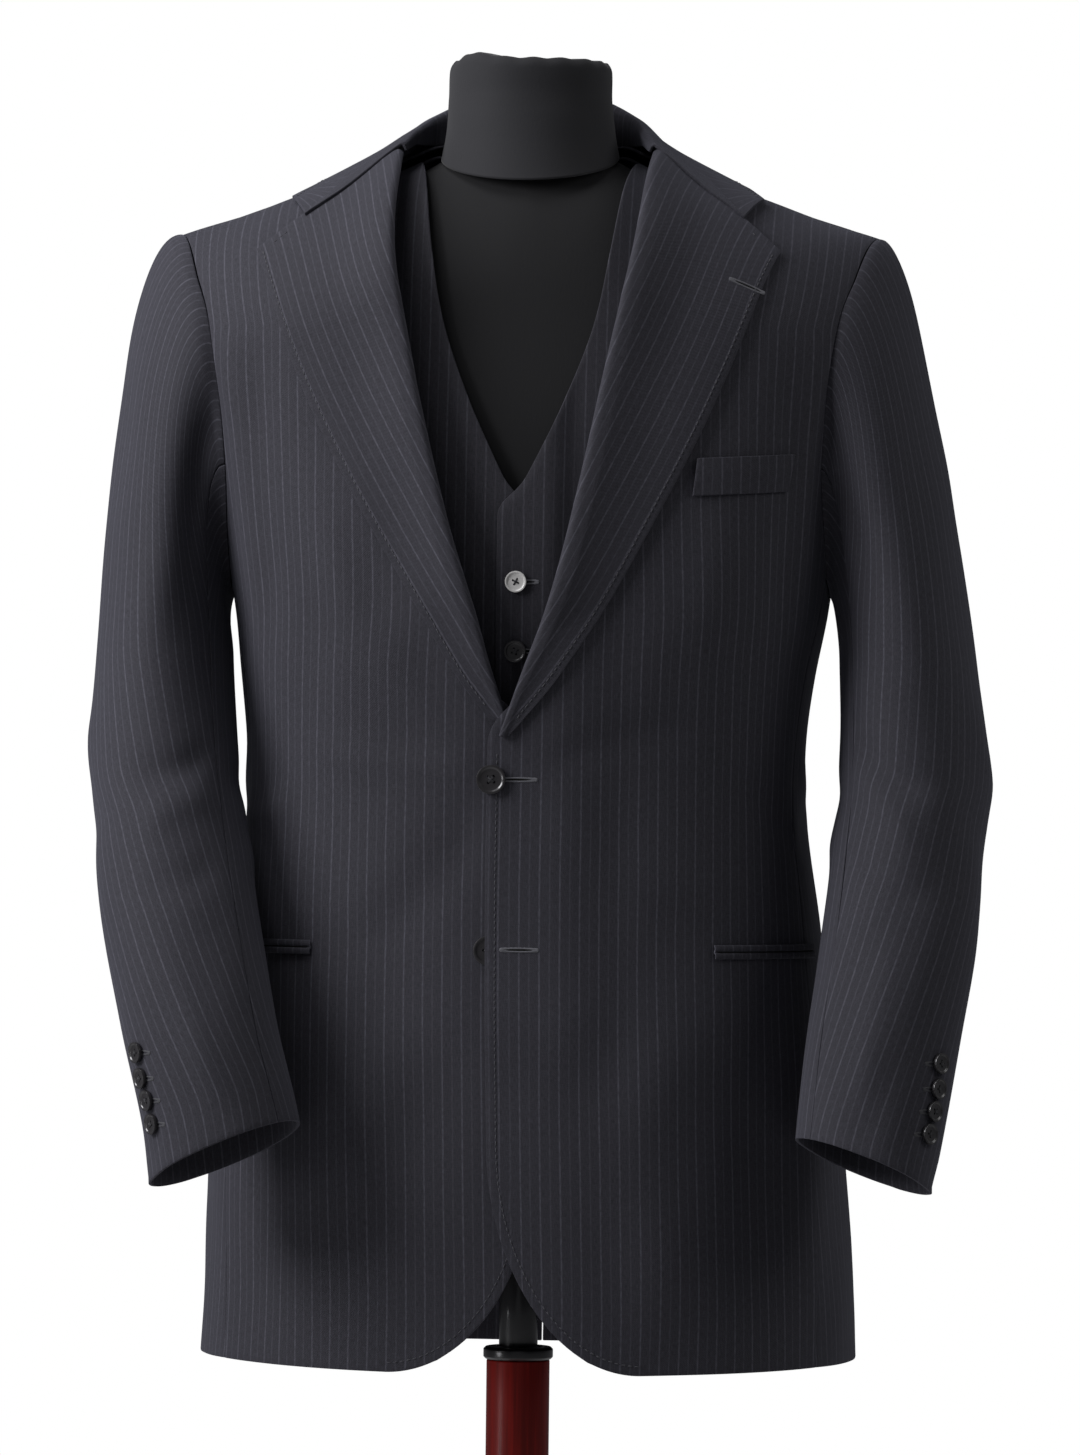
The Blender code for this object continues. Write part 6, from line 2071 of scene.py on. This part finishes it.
# The strength and colour of the room's light, and of the backdrop that only the camera sees
ROOM_LIGHT = (0.12, (0.94, 0.95, 1.0, 1))
BACKDROP = (1.0, (1, 1, 1, 1))


def soft_light(name, place, target, size, power, tint):
    light = bpy.data.lights.new(name, "AREA")
    light.shape = "DISK"
    light.size = size
    light.energy = power
    light.color = tint
    lamp = bpy.data.objects.new(name, light)
    bpy.context.scene.collection.objects.link(lamp)
    lamp.location = place
    lamp.rotation_euler = (Vector(place) - Vector(target)).to_track_quat("Z", "Y").to_euler()


def studio():
    bpy.ops.object.select_all(action="DESELECT")
    bpy.ops.mesh.primitive_circle_add(
        vertices=96, radius=FLOOR_RADIUS, fill_type="NGON", location=(0, 0, FLOOR_HEIGHT)
    )
    floor = bpy.context.active_object
    floor.name = "floor"
    floor.data.materials.append(FLOOR)
    for light in LIGHTS:
        soft_light(*light)
    world = bpy.data.worlds.new("studio")
    bpy.context.scene.world = world
    world.use_nodes = True
    tree = world.node_tree
    room, backdrop = tree.nodes["Background"], tree.nodes.new("ShaderNodeBackground")
    for node, (strength, colour) in ((room, ROOM_LIGHT), (backdrop, BACKDROP)):
        node.inputs["Strength"].default_value = strength
        node.inputs["Color"].default_value = colour
    seen = tree.nodes.new("ShaderNodeLightPath").outputs["Is Camera Ray"]
    either = tree.nodes.new("ShaderNodeMixShader")
    for number, output in enumerate((seen, room.outputs[0], backdrop.outputs[0])):
        tree.links.new(output, either.inputs[number])
    tree.links.new(either.outputs[0], tree.nodes["World Output"].inputs["Surface"])


def camera():
    aside_way = Vector((math.cos(VIEW_AZIMUTH), math.sin(VIEW_AZIMUTH), 0))
    back = Vector((math.sin(VIEW_AZIMUTH), -math.cos(VIEW_AZIMUTH), 0))
    data = bpy.data.cameras.new("photo_view")
    data.sensor_fit = "HORIZONTAL"
    data.sensor_width = SENSOR
    data.lens = SENSOR * VIEW_DISTANCE / VIEW_WIDTH
    view = bpy.data.objects.new("photo_view", data)
    bpy.context.scene.collection.objects.link(view)
    place = Vector((0, 0, VIEW_HEIGHT)) + aside_way * VIEW_ASIDE + back * VIEW_DISTANCE
    turn = Matrix((aside_way, Vector((0, 0, 1)), back)).transposed().to_4x4()
    view.matrix_world = Matrix.Translation(place) @ turn @ Matrix.Rotation(VIEW_ROLL, 4, "Z")
    bpy.context.scene.camera = view


dress()
studio()
camera()
bpy.context.scene.view_settings.view_transform = "Standard"
